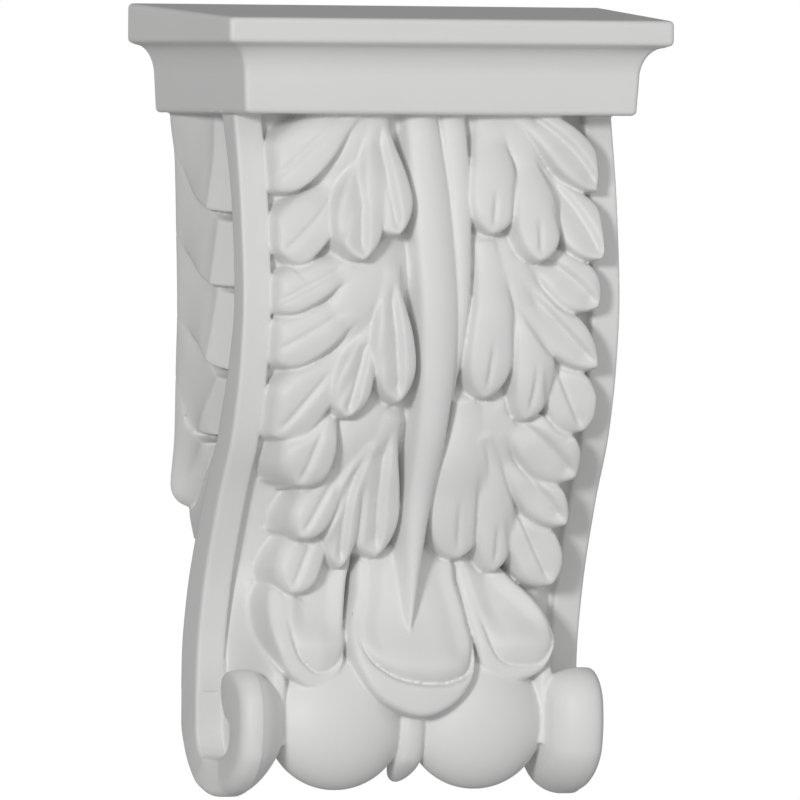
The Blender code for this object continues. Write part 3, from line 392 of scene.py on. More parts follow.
def through(stations, value):
    """Smooth reading of a size between its stated stations, for one value or an array."""
    xs = np.array([s[0] for s in stations], dtype=float)
    ys = np.array([s[1] for s in stations], dtype=float)
    slopes = np.diff(ys) / np.diff(xs)
    tangents = np.empty(len(xs))
    tangents[0] = slopes[0]
    tangents[-1] = slopes[-1]
    for i in range(1, len(xs) - 1):
        before, after = slopes[i - 1], slopes[i]
        tangents[i] = 2 * before * after / (before + after) if before * after > 0 else 0.0
    value = np.clip(np.asarray(value, dtype=float), xs[0], xs[-1])
    i = np.clip(np.searchsorted(xs, value, side="right") - 1, 0, len(xs) - 2)
    span = xs[i + 1] - xs[i]
    t = (value - xs[i]) / span
    return ((2 * t**3 - 3 * t**2 + 1) * ys[i] + (t**3 - 2 * t**2 + t) * span * tangents[i]
            + (3 * t**2 - 2 * t**3) * ys[i + 1] + (t**3 - t**2) * span * tangents[i + 1])


def band_front(drop):
    return through(BAND_FRONT, drop)


def band_back(drop):
    return band_front(drop) - through(BAND_THICKNESS, drop)


def smooth(t):
    t = np.clip(t, 0.0, 1.0)
    return t * t * (3 - 2 * t)


def quarter_round(distance, radius):
    """How far a rounded edge has fallen at a distance inside it."""
    near = np.clip(1 - distance / radius, 0.0, 1.0)
    return radius * (1 - np.sqrt(1 - near * near))


def soft_max(a, b, blend):
    """The higher of two surfaces, with their meeting line filled a little."""
    return np.maximum(a, b) + np.maximum(0.0, blend - np.abs(a - b)) ** 2 / (4 * blend)


def place(across, depth, drop):
    return (across, -depth, TOP - drop)


def steps(start, end, count):
    return [start + (end - start) * i / (count - 1) for i in range(count)]


def closed_curve(points, per_span=8):
    """Smooth closed outline through the stated points."""
    p = np.array(points)
    before, after, beyond = np.roll(p, 1, 0), np.roll(p, -1, 0), np.roll(p, -2, 0)
    t = np.arange(per_span)[None, :, None] / per_span
    p, before, after, beyond = (q[:, None, :] for q in (p, before, after, beyond))
    curve = 0.5 * (2 * p + (after - before) * t + (2 * before - 5 * p + 4 * after - beyond) * t**2
                   + (3 * p - before - 3 * after + beyond) * t**3)
    return curve.reshape(-1, 2)


def inside_distance(outline, x, y):
    """Distance to a closed outline, positive inside."""
    nearest = np.full(x.shape, 1.0)
    inside = np.zeros(x.shape, dtype=bool)
    for (ax, ay), (bx, by) in zip(outline, np.roll(outline, -1, 0)):
        ex, ey = bx - ax, by - ay
        t = np.clip(((x - ax) * ex + (y - ay) * ey) / max(ex * ex + ey * ey, 1e-12), 0, 1)
        nearest = np.minimum(nearest, np.hypot(x - ax - t * ex, y - ay - t * ey))
        if ay != by:
            crosses = (ay > y) != (by > y)
            inside ^= crosses & (x < ax + (y - ay) * ex / ey)
    return np.where(inside, nearest, -nearest)


def blurred(field, cells):
    """The field with its sharpest lines softened."""
    reach = int(math.ceil(3 * cells))
    weights = np.exp(-0.5 * (np.arange(-reach, reach + 1) / cells) ** 2)
    weights /= weights.sum()
    for axis in (0, 1):
        padded = np.pad(field, [(reach, reach) if a == axis else (0, 0) for a in (0, 1)], mode="edge")
        field = sum(w * np.take(padded, range(k, k + field.shape[axis]), axis=axis)
                    for k, w in enumerate(weights))
    return field


class Skin:
    """Corners and faces of closed shells, collected into one mesh."""

    def __init__(self):
        self.corners = []
        self.faces = []

    def loft(self, rings):
        """Closed shell through rings of equal length, each a list of across, depth and drop."""
        first = len(self.corners)
        size = len(rings[0])
        for ring in rings:
            self.corners.extend(place(*point) for point in ring)
        for i in range(len(rings) - 1):
            a = first + i * size
            for j in range(size):
                k = (j + 1) % size
                self.faces.append((a + j, a + k, a + size + k, a + size + j))
        last = first + (len(rings) - 1) * size
        self.faces.append(tuple(reversed(range(first, first + size))))
        self.faces.append(tuple(range(last, last + size)))

    def slab(self, front, back):
        """Closed slab between two grids of corners of the same shape, each rows x columns x 3."""
        first = len(self.corners)
        rows, columns, _ = front.shape
        for sheet in (front, back):
            self.corners.extend(place(*point) for point in sheet.reshape(-1, 3).tolist())
        behind = first + rows * columns

        def corner(i, j):
            return i * columns + j

        for i in range(rows - 1):
            for j in range(columns - 1):
                a, b, c, d = corner(i, j), corner(i, j + 1), corner(i + 1, j + 1), corner(i + 1, j)
                self.faces.append((first + a, first + b, first + c, first + d))
                self.faces.append((behind + d, behind + c, behind + b, behind + a))
        edge = [corner(0, j) for j in range(columns)]
        edge += [corner(i, columns - 1) for i in range(1, rows)]
        edge += [corner(rows - 1, j) for j in range(columns - 2, -1, -1)]
        edge += [corner(i, 0) for i in range(rows - 2, 0, -1)]
        for a, b in zip(edge, edge[1:] + edge[:1]):
            self.faces.append((first + b, first + a, behind + a, behind + b))

    def solid(self, name):
        mesh = bpy.data.meshes.new(name)
        mesh.from_pydata(self.corners, [], self.faces)
        obj = bpy.data.objects.new(name, mesh)
        bpy.context.collection.objects.link(obj)
        return obj


class Relief:
    """Height of the carving above the border bands, over across and drop."""

    def __init__(self, half_width, top, foot):
        self.across = np.arange(-half_width, half_width + GRID / 2, GRID)
        self.drop = np.arange(top, foot + GRID / 2, GRID)
        self.x, self.t = np.meshgrid(self.across, self.drop)
        swell = smooth((half_width - np.abs(self.x)) / (half_width * PANEL_SWELL_SHARE))
        self.height = -PANEL_RECESS + PANEL_SWELL * swell
        out = np.abs(self.x)
        beside = smooth((out - SWELL_FROM) / SWELL_IN_OVER) * smooth((SWELL_TO - out) / SWELL_OUT_OVER)
        self.height += beside * (through(SWELL_RISE, self.t) + PANEL_RECESS)

    def window(self, outs, drops, side, margin):
        """Part of the grid around the stated outward and drop sizes."""
        low, high = min(outs) - margin, max(outs) + margin
        if side < 0:
            low, high = -high, -low
        columns = np.searchsorted(self.across, (low, high))
        rows = np.searchsorted(self.drop, (min(drops) - margin, max(drops) + margin))
        return slice(*rows), slice(*columns)

    def groove(self, part, inside, share):
        """Lowers the ground just around a form, so that its edge stands clear."""
        outside = np.clip(-inside, 0.0, 1.0)
        self.height[part] -= GROOVE * share * np.exp(-(outside / GROOVE_WIDTH) ** 2)

    def lay(self, part, surface, blend):
        self.height[part] = soft_max(self.height[part], surface, blend)


def lobe_outline(u, point):
    """Half width along a lobe, as a share of its widest: growing from the root, closing to the tip."""
    grow = LOBE_ROOT_SHARE + (1 - LOBE_ROOT_SHARE) * smooth((u - LOBE_GROW_FROM) / LOBE_GROW_OVER)
    from_tip = LOBE_CLOSE_FROM - LOBE_CLOSE_EARLIER * (point - LOBE_PLAIN_POINT)
    close = np.clip((u - from_tip) / (1 - from_tip), 0.0, 1.0)
    return grow * np.maximum(0.0, 1 - close ** LOBE_TIP_POWER) ** point


def along_lobe(lobe, side, x, t):
    """Position along a lobe, sideways distance from its middle line, and its length."""
    root, middle, tip = (np.array(p) for p in (lobe.root, lobe.middle, lobe.tip))
    bend = 2 * middle - (root + tip) / 2
    s = np.linspace(0, 1, LOBE_STEPS)[:, None]
    line = (1 - s) ** 2 * root + 2 * s * (1 - s) * bend + s * s * tip
    heading = 2 * (1 - s) * (bend - root) + 2 * s * (tip - bend)
    heading /= np.linalg.norm(heading, axis=1)[:, None]
    run = np.concatenate(([0.0], np.cumsum(np.linalg.norm(np.diff(line, axis=0), axis=1))))
    x = side * x
    gap = (x[..., None] - line[:, 0]) ** 2 + (t[..., None] - line[:, 1]) ** 2
    near = np.argmin(gap, axis=-1)
    dx, dt = x - line[near, 0], t - line[near, 1]
    hx, ht = heading[near, 0], heading[near, 1]
    u = (run[near] + dx * hx + dt * ht) / run[-1]
    return u, -dx * ht + dt * hx, run[-1]


def cross_section(form, share, u):
    """Fall of a lobe's face: a crease with a hollow on one side and a full bulge on the other."""
    past = form.turn * share - form.turn * form.crease
    rim = LOBE_HOLLOW_RIM - form.turn * form.crease
    hollow = 1 - smooth(np.clip(past, 0, 2) / rim)
    bulge = np.exp(-(np.minimum(past, 0) / LOBE_BULGE) ** 2)
    along = smooth((u - form.start) / LOBE_HOLLOW_FADE) * smooth((LOBE_HOLLOW_END - u) / LOBE_HOLLOW_CLOSE)
    return form.hollow * along * np.where(past > 0, hollow, bulge)


def lobe_edges(lobe, side, x, u, v, length):
    """Half width of a lobe, distance inside its outline and distance to where the panel ends."""
    point = lobe.form.point
    step = 0.01
    half = lobe.half * lobe_outline(u, point)
    lean = lobe.half * (lobe_outline(u + step, point) - lobe_outline(u - step, point))
    lean /= 2 * step * length
    inside = (half - np.abs(v)) / np.sqrt(1 + lean * lean)
    inside = np.where(u > 1, -np.hypot((u - 1) * length, v), inside)
    return half, inside, LOBE_LIMIT - side * x


def lay_lobe(relief, lobe, side):
    """A lobe of a leaf with a creased face, a rounded edge and steep walls."""
    form = lobe.form
    outs = [p[0] for p in (lobe.root, lobe.middle, lobe.tip)]
    drops = [p[1] for p in (lobe.root, lobe.middle, lobe.tip)]
    part = relief.window(outs, drops, side, LOBE_REACH * lobe.half + AROUND)
    x, t = relief.x[part], relief.t[part]
    u, v, length = along_lobe(lobe, side, x, t)
    half, inside, to_limit = lobe_edges(lobe, side, x, u, v, length)
    share = np.clip(v / np.maximum(half, LOBE_LEAST_HALF), -LOBE_WIDEST_SHARE, LOBE_WIDEST_SHARE)
    flank = smooth((LOBE_FLANK_FROM - share) / LOBE_FLANK_OVER)
    radius = LOBE_EDGE + (form.flank - LOBE_EDGE) * flank
    fall = np.maximum(quarter_round(inside, radius), quarter_round(to_limit, form.flank))
    inside = -soft_max(-inside, -to_limit, LOBE_LIMIT_BLEND)
    risen = np.clip(u, 0, LOBE_FARTHEST_SHARE) ** LOBE_RISE_POWER
    height = lobe.root_rise + (lobe.tip_rise - lobe.root_rise) * risen
    height += form.tilt * share - LOBE_CROWN * share * share
    height -= LOBE_NOSE * np.clip((u - LOBE_NOSE_FROM) / (1 - LOBE_NOSE_FROM), 0, LOBE_NOSE_MOST) ** 2
    height -= LOBE_SINK * (1 - smooth(u / LOBE_SINK_OVER))
    height -= cross_section(form, share, u)
    line = smooth((u - form.start) / LOBE_LINE_FADE) * smooth((LOBE_LINE_END - u) / LOBE_LINE_CLOSE)
    height -= form.line * line * np.exp(-((v - form.crease * half) / LOBE_LINE_WIDTH) ** 2)
    height -= fall
    height += WALL_SLOPE * np.minimum(inside, 0.0)
    height -= LOBE_ROOT_SLOPE * length * np.clip(-u, 0, 1)
    relief.groove(part, inside, smooth((u - GROOVE_FROM) / GROOVE_OVER))
    blend = LOBE_TIP_BLEND + LOBE_ROOT_BLEND * (1 - smooth(u / LOBE_ROOT_BLEND_OVER))
    relief.lay(part, height, blend)


def lay_mass(relief, mass, side):
    """A soft swelling behind the lobes."""
    reach = MASS_REACH * max(mass.half_out, mass.half_drop)
    part = relief.window((mass.middle[0],), (mass.middle[1],), side, reach)
    x = side * relief.x[part] - mass.middle[0]
    t = relief.t[part] - mass.middle[1] - mass.lean * x
    far = np.hypot(x / mass.half_out, t / mass.half_drop)
    height = mass.rise - (mass.rise + PANEL_RECESS) * far ** MASS_ROUNDNESS
    relief.lay(part, height, MASS_BLEND)


def lay_strand(relief, stations, crown):
    """One rib of the stem, narrowing downwards."""
    by_drop = [[(s[1], s[i]) for s in stations] for i in (0, 2, 3)]
    part = relief.window((-STEM_REACH, STEM_REACH), (stations[0][1], stations[-1][1]), 1, 0.0)
    across, half, rise = (through(by, relief.t[part]) for by in by_drop)
    inside = half - np.abs(relief.x[part] - across)
    share = (relief.x[part] - across) / half
    height = rise - crown * np.minimum(share * share, STEM_CROWN_MOST) - quarter_round(inside, STEM_EDGE)
    height += WALL_SLOPE * np.minimum(inside, 0.0)
    relief.lay(part, height, BLEND)


def lay_cup(relief, cup, side):
    """A broad leaf with a shallow dish inside a rolled rim, turning under at its foot."""
    outs = [p[0] for p in cup.outline]
    drops = [p[1] for p in cup.outline]
    part = relief.window(outs, drops, side, AROUND)
    x, t = side * relief.x[part], relief.t[part]
    inside = inside_distance(closed_curve(cup.outline), x, t)
    dish = inside_distance(closed_curve(cup.dish), x, t)
    foot = cup.rise[-1][0]
    low = smooth((t - (foot - CUP_LOW_FROM)) / CUP_LOW_OVER)
    height = through(cup.rise, t)
    height -= cup.dome * (1 - np.clip(inside / CUP_DOME_OVER, 0, 1)) ** 2 * (1 - CUP_DOME_LOW * low)
    turned = cup.fall * (1 - np.sqrt(1 - np.clip(1 - dish / CUP_TURN, 0, 1) ** 2)) * low
    sunk = cup.rim * (1 - low) * smooth(dish / CUP_BOWL)
    lip = cup.fall * CUP_LIP * low
    height -= np.where(dish > 0, turned + sunk, lip)
    height -= cup.crease * np.exp(-(dish / CUP_CREASE_WIDTH) ** 2)
    height -= quarter_round(inside, CUP_EDGE)
    height += CUP_WALL_SLOPE * np.minimum(inside, 0.0)
    relief.groove(part, inside, 1.0)
    relief.lay(part, height, BLEND)


def carve_leaves():
    """The whole carved front: masses first, then the cups, the lobes from the lowest up, and the stem."""
    relief = Relief(PANEL_HALF_WIDTH + CARVING_OVERLAP, CARVING_TOP, CARVING_FOOT)
    for side in (-1, 1):
        for mass in MASSES:
            lay_mass(relief, mass, side)
    lay_cup(relief, LEFT_CUP, -1)
    lay_cup(relief, RIGHT_CUP, 1)
    lay_cup(relief, CENTRE_CUP, 1)
    for side, lobes in ((-1, LEFT_LOBES), (1, RIGHT_LOBES)):
        for lobe in reversed(lobes):
            lay_lobe(relief, lobe, side)
    lay_strand(relief, STEM_SIDE, STEM_SIDE_CROWN)
    lay_strand(relief, STEM_MAIN, STEM_MAIN_CROWN)
    relief.height = blurred(relief.height, SOFTEN_CELLS)
    return relief


def leaf_slab(skin):
    """The carved front as a slab that follows the curve of the bands."""
    relief = carve_leaves()
    front = np.stack((relief.x, band_front(relief.t) + relief.height, relief.t), axis=-1)
    behind = np.minimum(band_front(relief.t) - CARVING_BACKING, front[..., 1] - CARVING_LEAST)
    back = np.stack((relief.x, behind, relief.t), axis=-1)
    skin.slab(front, back)


def husk_height(depth, drop):
    """How far the husks stand out of the side panel."""
    base = through(HUSK_RISE, drop)
    height = np.full(depth.shape, -HUSK_LOWEST)
    covered = np.full(depth.shape, -1.0)
    for edge, ridge, slope in zip(HUSK_EDGES, HUSK_RIDGES, HUSK_FACETS):
        below = through(edge, depth) - drop
        crest = through(ridge, drop)
        face = base - HUSK_SHOULDER * smooth(np.clip(depth / crest, 0, 1) ** HUSK_SHOULDER_POWER)
        face -= np.clip(slope * (depth - crest), 0, HUSK_FACET_FALL)
        lift = HUSK_LIFT * smooth((depth - HUSK_LIFT_FROM) / HUSK_LIFT_OVER)
        face += lift * (1 - np.clip(below / HUSK_LENGTH, 0, HUSK_LENGTH_MOST))
        radius = HUSK_FOOT if edge is HUSK_EDGES[-1] else HUSK_EDGE
        face -= quarter_round(below, radius) + HUSK_WALL_SLOPE * np.maximum(-below, 0.0)
        face -= HUSK_COVER * smooth(covered / HUSK_EDGE)
        height = soft_max(height, face, HUSK_BLEND)
        covered = below
    for edge, ridge in zip(HUSK_EDGES[:-1], HUSK_RIDGES):
        under = drop - through(edge, depth)
        from_crest = depth - ridge[-1][1]
        open_by = HUSK_SLOT * smooth(HUSK_SLOT_START + from_crest / HUSK_SLOT_LENGTH)
        roof = smooth(under / HUSK_SLOT_ROOF)
        ground = smooth((open_by - under) / HUSK_SLOT_FLOOR)
        height -= HUSK_SLOT_DEPTH * roof * ground
    neck = through(HUSK_NECK, drop)
    return np.maximum(height, np.where(covered < 0, neck, -HUSK_SLOT_DEPTH))


def husk_slab(skin, side):
    """The side of the corbel with its overlapping husks."""
    drops = np.arange(CAP_HEIGHT - UNDER_CAP, HUSK_NECK[-1][0], GRID)
    shares = np.linspace(0.0, 1.0, HUSK_COLUMNS)
    share, drop = np.meshgrid(shares, drops)
    depth = share * (band_front(drop) - HUSK_STOP)
    out = PANEL_HALF_WIDTH + blurred(husk_height(depth, drop), SOFTEN_CELLS)
    depth = np.where(share == 0.0, -BEHIND, depth)
    front = np.stack((side * out, depth, drop), axis=-1)
    inner = np.full(drop.shape, side * (PANEL_HALF_WIDTH - HUSK_SLAB))
    back = np.stack((inner, depth, drop), axis=-1)
    skin.slab(front, back)


def core_block(skin):
    """Solid block from the wall to just behind the leaves."""
    rings = []
    for drop in steps(CAP_HEIGHT - UNDER_CAP, FOOT_DROP, RINGS):
        fall = max(0.0, (drop - (FOOT_DROP - FOOT_ROUND)) / FOOT_ROUND)
        fall = FOOT_ROUND * (1 - math.sqrt(max(0.0, 1 - fall * fall)))
        face = float(band_front(drop)) - PANEL_RECESS - fall
        half = CORE_HALF_WIDTH if drop < SLOTS_END else PANEL_HALF_WIDTH
        rings.append([(-half, -BEHIND, drop), (-half, face, drop), (half, face, drop),
                      (half, -BEHIND, drop)])
    skin.loft(rings)


def rounded(half_x, half_y, power, count):
    """Closed superellipse as pairs."""
    pairs = []
    for i in range(count):
        a = 2 * math.pi * i / count
        c, s = math.cos(a), math.sin(a)
        pairs.append((half_x * math.copysign(abs(c) ** (2 / power), c),
                      half_y * math.copysign(abs(s) ** (2 / power), s)))
    return pairs


def border_band(skin, side):
    """One S-shaped border, as a strip standing proud of the panel and of the side."""
    rings = []
    for drop in steps(CAP_HEIGHT - UNDER_CAP, SCROLL_OUTSIDE[1][1], RINGS):
        front, back = float(band_front(drop)), float(band_back(drop))
        ring = []
        for x, y in rounded(BAND_FACE / 2, (front - back) / 2, BAND_SQUARENESS, BAND_POINTS):
            depth = (front + back) / 2 + y
            outer = SIDE_AT_WALL - SIDE_DRAFT * depth
            ring.append((side * (outer - BAND_FACE / 2 + x), depth, drop))
        rings.append(ring)
    skin.loft(rings)


def spaced(points, count):
    """Smooth line through depth and drop pairs, read at even steps."""
    keys = range(len(points))
    at = np.linspace(0, len(points) - 1, count)
    return list(zip(*(through([(k, points[k][i]) for k in keys], at).tolist() for i in (0, 1))))


def between(a, b, share):
    return (a[0] + (b[0] - a[0]) * share, a[1] + (b[1] - a[1]) * share)


def curl(skin, side):
    """The band's foot, curled forward and up, open to the side."""
    rings = []
    for outside, hollow in zip(spaced(SCROLL_OUTSIDE, RINGS), spaced(SCROLL_HOLLOW, RINGS)):
        thick = math.hypot(outside[0] - hollow[0], outside[1] - hollow[1])
        ring = [(SCROLL_WALL - CURL_OVERLAP, hollow)]
        forward = min(1.0, max(0.0, (outside[0] - CURL_FORWARD_FROM) / CURL_FORWARD_OVER))
        corner = min(CURL_EDGE + (SCROLL_CORNER - CURL_EDGE) * forward, thick * CURL_CORNER_MOST)
        ring.append((-CURL_INNER_EDGE[0], hollow))
        ring.append((0.0, between(hollow, outside, CURL_INNER_EDGE[1] / thick)))
        for a in steps(0, math.pi / 2, CURL_CORNER_STEPS):
            ring.append((-corner * (1 - math.cos(a)),
                         between(outside, hollow, corner * (1 - math.sin(a)) / thick)))
        ring.append((SCROLL_WALL - CURL_OVERLAP, outside))
        points = []
        for across, (depth, drop) in ring:
            if across <= 0:
                across += SIDE_AT_WALL - SIDE_DRAFT * depth - SCROLL_TAPER * forward
            points.append((side * across, depth, drop))
        rings.append(points)
    skin.loft(rings)


def scroll_wall(skin, side):
    """Solid inner half of the scroll, slanting back towards the ball."""
    outline = np.array(spaced(SCROLL_OUTSIDE[1:], SCROLL_POINTS))
    middle = np.array(SCROLL_MIDDLE)
    far = np.linalg.norm(outline - middle, axis=1)[:, None]
    away = (outline - middle) / far
    rings = []
    for across in steps(SCROLL_FLARE, SCROLL_WALL, SCROLL_RINGS):
        t = (SCROLL_FLAT - across) / (SCROLL_FLAT - SCROLL_FLARE)
        round_in = 1 - math.sqrt(1 - t * t) if side > 0 else t ** SCROLL_INSET_POWER
        inset = outline - away * np.minimum(SCROLL_INSET * round_in, far * SCROLL_INSET_MOST)
        rings.append([(side * across, float(depth), float(drop)) for depth, drop in inset])
    skin.loft(rings)


def ball(skin, centre, radii):
    rings = []
    last = 2 * math.pi * (BALL_COLUMNS - 1) / BALL_COLUMNS
    for n in range(1, BALL_ROWS):
        a = math.pi * n / BALL_ROWS
        drop = centre[2] - radii[2] * math.cos(a)
        rings.append([(centre[0] + radii[0] * math.sin(a) * math.cos(b),
                       centre[1] + radii[1] * math.sin(a) * math.sin(b), drop)
                      for b in steps(0, last, BALL_COLUMNS)])
    skin.loft(rings)


def tongue(skin):
    """Narrow leaf hanging between the balls and curling back at its tip."""
    rings = []
    for n, (depth, drop) in enumerate(spaced(TONGUE_PATH, TONGUE_RINGS)):
        past = max(0.0, (n / (TONGUE_RINGS - 1) - TONGUE_TIP_FROM) / (1 - TONGUE_TIP_FROM))
        close = math.sqrt(max(TONGUE_TIP_LEFT, 1 - past ** 2))
        half, thick = TONGUE_HALF_WIDTH * close, TONGUE_THICKNESS * close
        outline = rounded(half, thick, TONGUE_SQUARENESS, TONGUE_POINTS)
        rings.append([(x, depth - TONGUE_THICKNESS + y, drop) for x, y in outline])
    skin.loft(rings)


def cap_ring(half_at_wall, depth, drop_at_wall, drop_at_front):
    """Outline of the cap at one step of its profile, with rounded front corners."""
    def side(y):
        return half_at_wall - CAP_DRAFT * y

    centre_y = depth - CAP_CORNER
    centre_x = side(centre_y) - CAP_CORNER
    ring = [(half_at_wall + CAP_DRAFT * BEHIND, -BEHIND)]
    for a in steps(0, math.pi / 2, CAP_CORNER_STEPS):
        ring.append((centre_x + CAP_CORNER * math.cos(a), centre_y + CAP_CORNER * math.sin(a)))
    ring += [(-x, y) for x, y in reversed(ring)]
    return [(x, y, drop_at_wall + (drop_at_front - drop_at_wall) * y / depth) for x, y in ring]


def cap(skin):
    """Moulded cap: fascia, hollow cove and lower band, tapering towards the front."""
    half, depth, fall = CAP_HALF_WIDTH, CAP_DEPTH, CAP_TOP_FALL
    rings = []
    for a in steps(0, math.pi / 2, CAP_ARRIS_STEPS):
        inset, down = CAP_ARRIS * (1 - math.sin(a)), CAP_ARRIS * (1 - math.cos(a))
        rings.append(cap_ring(half - inset, depth - inset, down, fall + down))
    for a in steps(0, math.pi / 2, CAP_ARRIS_STEPS):
        inset, down = CAP_ARRIS * (1 - math.cos(a)), CAP_ARRIS * (1 - math.sin(a))
        level = CAP_FASCIA_DROP - down
        rings.append(cap_ring(half - inset, depth - inset, level, level))
    lip = CAP_ARRIS + CAP_COVE_STEP
    for a in steps(0, math.pi / 2, CAP_COVE_STEPS):
        inset = lip + (CAP_BAND_INSET - lip) * math.sin(a)
        level = CAP_FASCIA_DROP + (CAP_COVE_DROP - CAP_FASCIA_DROP) * (1 - math.cos(a)) + CAP_COVE_DOWN
        rings.append(cap_ring(half - inset, depth - inset, level, level))
    low = CAP_BAND_INSET + CAP_BAND_STEP
    for a in steps(0, math.pi / 2, CAP_ARRIS_STEPS):
        inset, down = CAP_ARRIS * (1 - math.cos(a)), CAP_ARRIS * (1 - math.sin(a))
        level = CAP_HEIGHT - down
        rings.append(cap_ring(half - low - inset, depth - low - inset, level, level))
    skin.loft(rings)


def apply_modifier(obj, kind, **settings):
    modifier = obj.modifiers.new(kind.lower(), kind)
    for key, value in settings.items():
        setattr(modifier, key, value)
    bpy.context.view_layer.objects.active = obj
    bpy.ops.object.modifier_apply(modifier=modifier.name)


def cut_at_wall(obj):
    """The back of the casting, cut flat at the wall."""
    bm = bmesh.new()
    bm.from_mesh(obj.data)
    bmesh.ops.recalc_face_normals(bm, faces=bm.faces)
    geometry = bm.verts[:] + bm.edges[:] + bm.faces[:]
    cut = bmesh.ops.bisect_plane(bm, geom=geometry, plane_co=(0, 0, 0), plane_no=(0, 1, 0),
                                 clear_outer=True)
    edges = [e for e in cut["geom_cut"] if isinstance(e, bmesh.types.BMEdge)]
    bmesh.ops.contextual_create(bm, geom=edges)
    for edge in edges:
        edge.smooth = False
    bm.to_mesh(obj.data)
    bm.free()


def primer(name):
    """White primer, faintly mottled and with a fine grain."""
    material = bpy.data.materials.new(name)
    material.use_nodes = True
    nodes, links = material.node_tree.nodes, material.node_tree.links
    shader = nodes["Principled BSDF"]
    shader.inputs["Roughness"].default_value = PRIMER_ROUGHNESS
    shader.inputs["Specular IOR Level"].default_value = PRIMER_SPECULAR
    place_on = nodes.new("ShaderNodeTexCoord")
    mottle = nodes.new("ShaderNodeTexNoise")
    mottle.inputs["Scale"].default_value = MOTTLE_SCALE
    mottle.inputs["Detail"].default_value = MOTTLE_DETAIL
    tint = nodes.new("ShaderNodeValToRGB")
    tint.color_ramp.elements[0].color = PRIMER_DARKER
    tint.color_ramp.elements[1].color = PRIMER_LIGHTER
    grain = nodes.new("ShaderNodeTexNoise")
    grain.inputs["Scale"].default_value = GRAIN_SCALE
    grain.inputs["Detail"].default_value = GRAIN_DETAIL
    bump = nodes.new("ShaderNodeBump")
    bump.inputs["Strength"].default_value = GRAIN_STRENGTH
    bump.inputs["Distance"].default_value = GRAIN_DEPTH
    links.new(place_on.outputs["Object"], mottle.inputs["Vector"])
    links.new(place_on.outputs["Object"], grain.inputs["Vector"])
    links.new(mottle.outputs["Fac"], tint.inputs["Fac"])
    links.new(tint.outputs["Color"], shader.inputs["Base Color"])
    links.new(grain.outputs["Fac"], bump.inputs["Height"])
    links.new(bump.outputs["Normal"], shader.inputs["Normal"])
    return material


def corbel():
    """The whole casting: its overlapping shells merged into one fine closed mesh."""
    skin = Skin()
    core_block(skin)
    leaf_slab(skin)
    tongue(skin)
    cap(skin)
    for side in (-1, 1):
        husk_slab(skin, side)
        border_band(skin, side)
        curl(skin, side)
        scroll_wall(skin, side)
        ball(skin, (side * BALL_AT[0], BALL_AT[1], BALL_AT[2]), BALL_RADII)
    piece = skin.solid("carved_corbel")
    apply_modifier(piece, "REMESH", mode="VOXEL", voxel_size=GRAIN)
    share = TRIANGLES / sum(len(face.vertices) - 2 for face in piece.data.polygons)
    apply_modifier(piece, "DECIMATE", ratio=share)
    cut_at_wall(piece)
    for face in piece.data.polygons:
        face.use_smooth = True
    piece.data.materials.append(primer("white_primer"))
    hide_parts("leaf_corbel")
    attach(piece, "root")


def floor():
    """Plain pale floor well below the corbel."""
    mesh = bpy.data.meshes.new("floor")
    square = ((-1, -1), (1, -1), (1, 1), (-1, 1))
    corners = [(FLOOR_HALF * x, FLOOR_HALF * y, FLOOR_LEVEL) for x, y in square]
    mesh.from_pydata(corners, [], [(0, 1, 2, 3)])
    obj = bpy.data.objects.new("floor", mesh)
    bpy.context.collection.objects.link(obj)
    material = bpy.data.materials.new("pale_floor")
    material.use_nodes = True
    shader = material.node_tree.nodes["Principled BSDF"]
    shader.inputs["Base Color"].default_value = FLOOR_COLOUR
    shader.inputs["Roughness"].default_value = FLOOR_ROUGHNESS
    obj.data.materials.append(material)


def aimed(across_angle, height_angle):
    """Direction looked or shone in, from degrees left of the front and degrees above."""
    a, b = math.radians(across_angle), math.radians(height_angle)
    return Vector((math.sin(a) * math.cos(b), math.cos(a) * math.cos(b), -math.sin(b)))


def sun(name, across_angle, height_angle, strength, spread):
    light = bpy.data.lights.new(name, "SUN")
    light.energy = strength
    light.angle = math.radians(spread)
    obj = bpy.data.objects.new(name, light)
    bpy.context.collection.objects.link(obj)
    obj.rotation_euler = aimed(across_angle, height_angle).to_track_quat("-Z", "Y").to_euler()


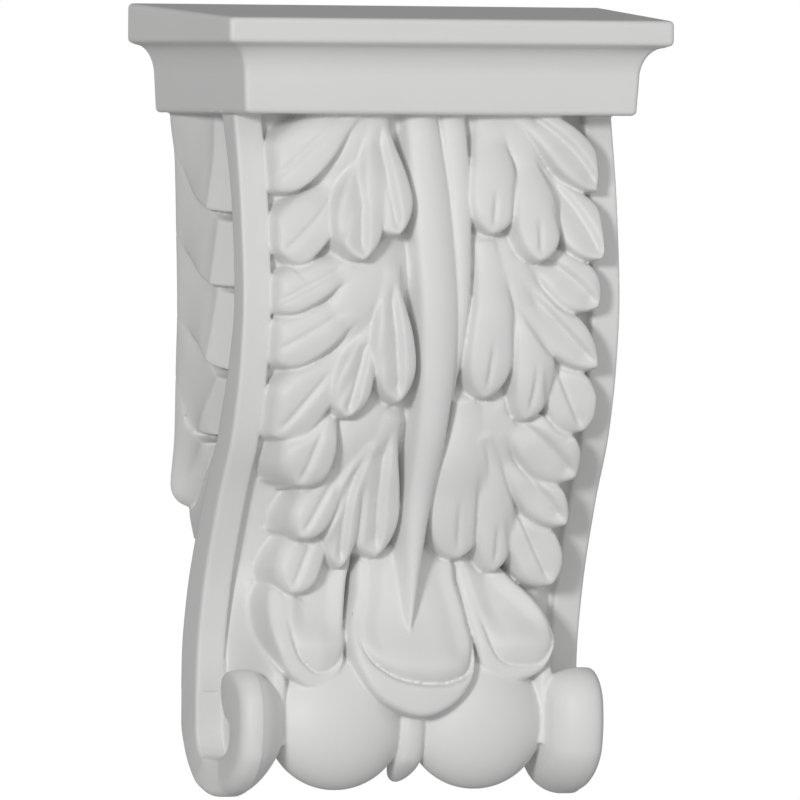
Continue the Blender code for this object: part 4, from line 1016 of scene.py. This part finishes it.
def studio():
    """Low key light from the left, broad front light, weak fill from the right and a white surround."""
    for name, left, above, strength, spread in LIGHTS:
        sun(name, left, above, strength, spread)
    world = bpy.data.worlds.new("studio")
    bpy.context.scene.world = world
    world.use_nodes = True
    nodes, links = world.node_tree.nodes, world.node_tree.links
    dim = nodes["Background"]
    dim.inputs["Color"].default_value = WHITE
    dim.inputs["Strength"].default_value = SURROUND_LIGHT
    white = nodes.new("ShaderNodeBackground")
    white.inputs["Color"].default_value = WHITE
    white.inputs["Strength"].default_value = SURROUND_SEEN
    seen = nodes.new("ShaderNodeLightPath")
    choose = nodes.new("ShaderNodeMixShader")
    links.new(seen.outputs["Is Camera Ray"], choose.inputs[0])
    links.new(dim.outputs["Background"], choose.inputs[1])
    links.new(white.outputs["Background"], choose.inputs[2])
    links.new(choose.outputs["Shader"], nodes["World Output"].inputs["Surface"])


def camera():
    """Long lens from the left of the front, a little above the corbel's middle."""
    look = aimed(CAMERA_LEFT, CAMERA_ABOVE)
    lens = bpy.data.cameras.new("camera")
    obj = bpy.data.objects.new("camera", lens)
    bpy.context.collection.objects.link(obj)
    obj.location = Vector(CAMERA_AIM) - look * CAMERA_DISTANCE
    turn = look.to_track_quat("-Z", "Y").to_matrix() @ Matrix.Rotation(CAMERA_ROLL, 3, "Z")
    obj.rotation_euler = turn.to_euler()
    lens.sensor_width = SENSOR_WIDTH
    lens.lens = PIXELS_PER_METRE * CAMERA_DISTANCE / PICTURE_WIDTH * lens.sensor_width
    lens.shift_x = PICTURE_SHIFT[0] / PICTURE_WIDTH
    lens.shift_y = PICTURE_SHIFT[1] / PICTURE_WIDTH
    lens.clip_end = FAR_CLIP
    bpy.context.scene.camera = obj


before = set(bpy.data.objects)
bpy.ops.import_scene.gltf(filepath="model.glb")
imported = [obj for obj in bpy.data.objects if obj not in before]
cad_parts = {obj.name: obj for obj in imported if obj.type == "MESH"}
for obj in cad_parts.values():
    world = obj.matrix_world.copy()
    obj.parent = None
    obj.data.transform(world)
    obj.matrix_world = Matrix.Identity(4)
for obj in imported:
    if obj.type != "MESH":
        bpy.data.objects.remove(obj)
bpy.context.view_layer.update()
corbel()
floor()
studio()
camera()
bpy.context.scene.view_settings.view_transform = "Standard"
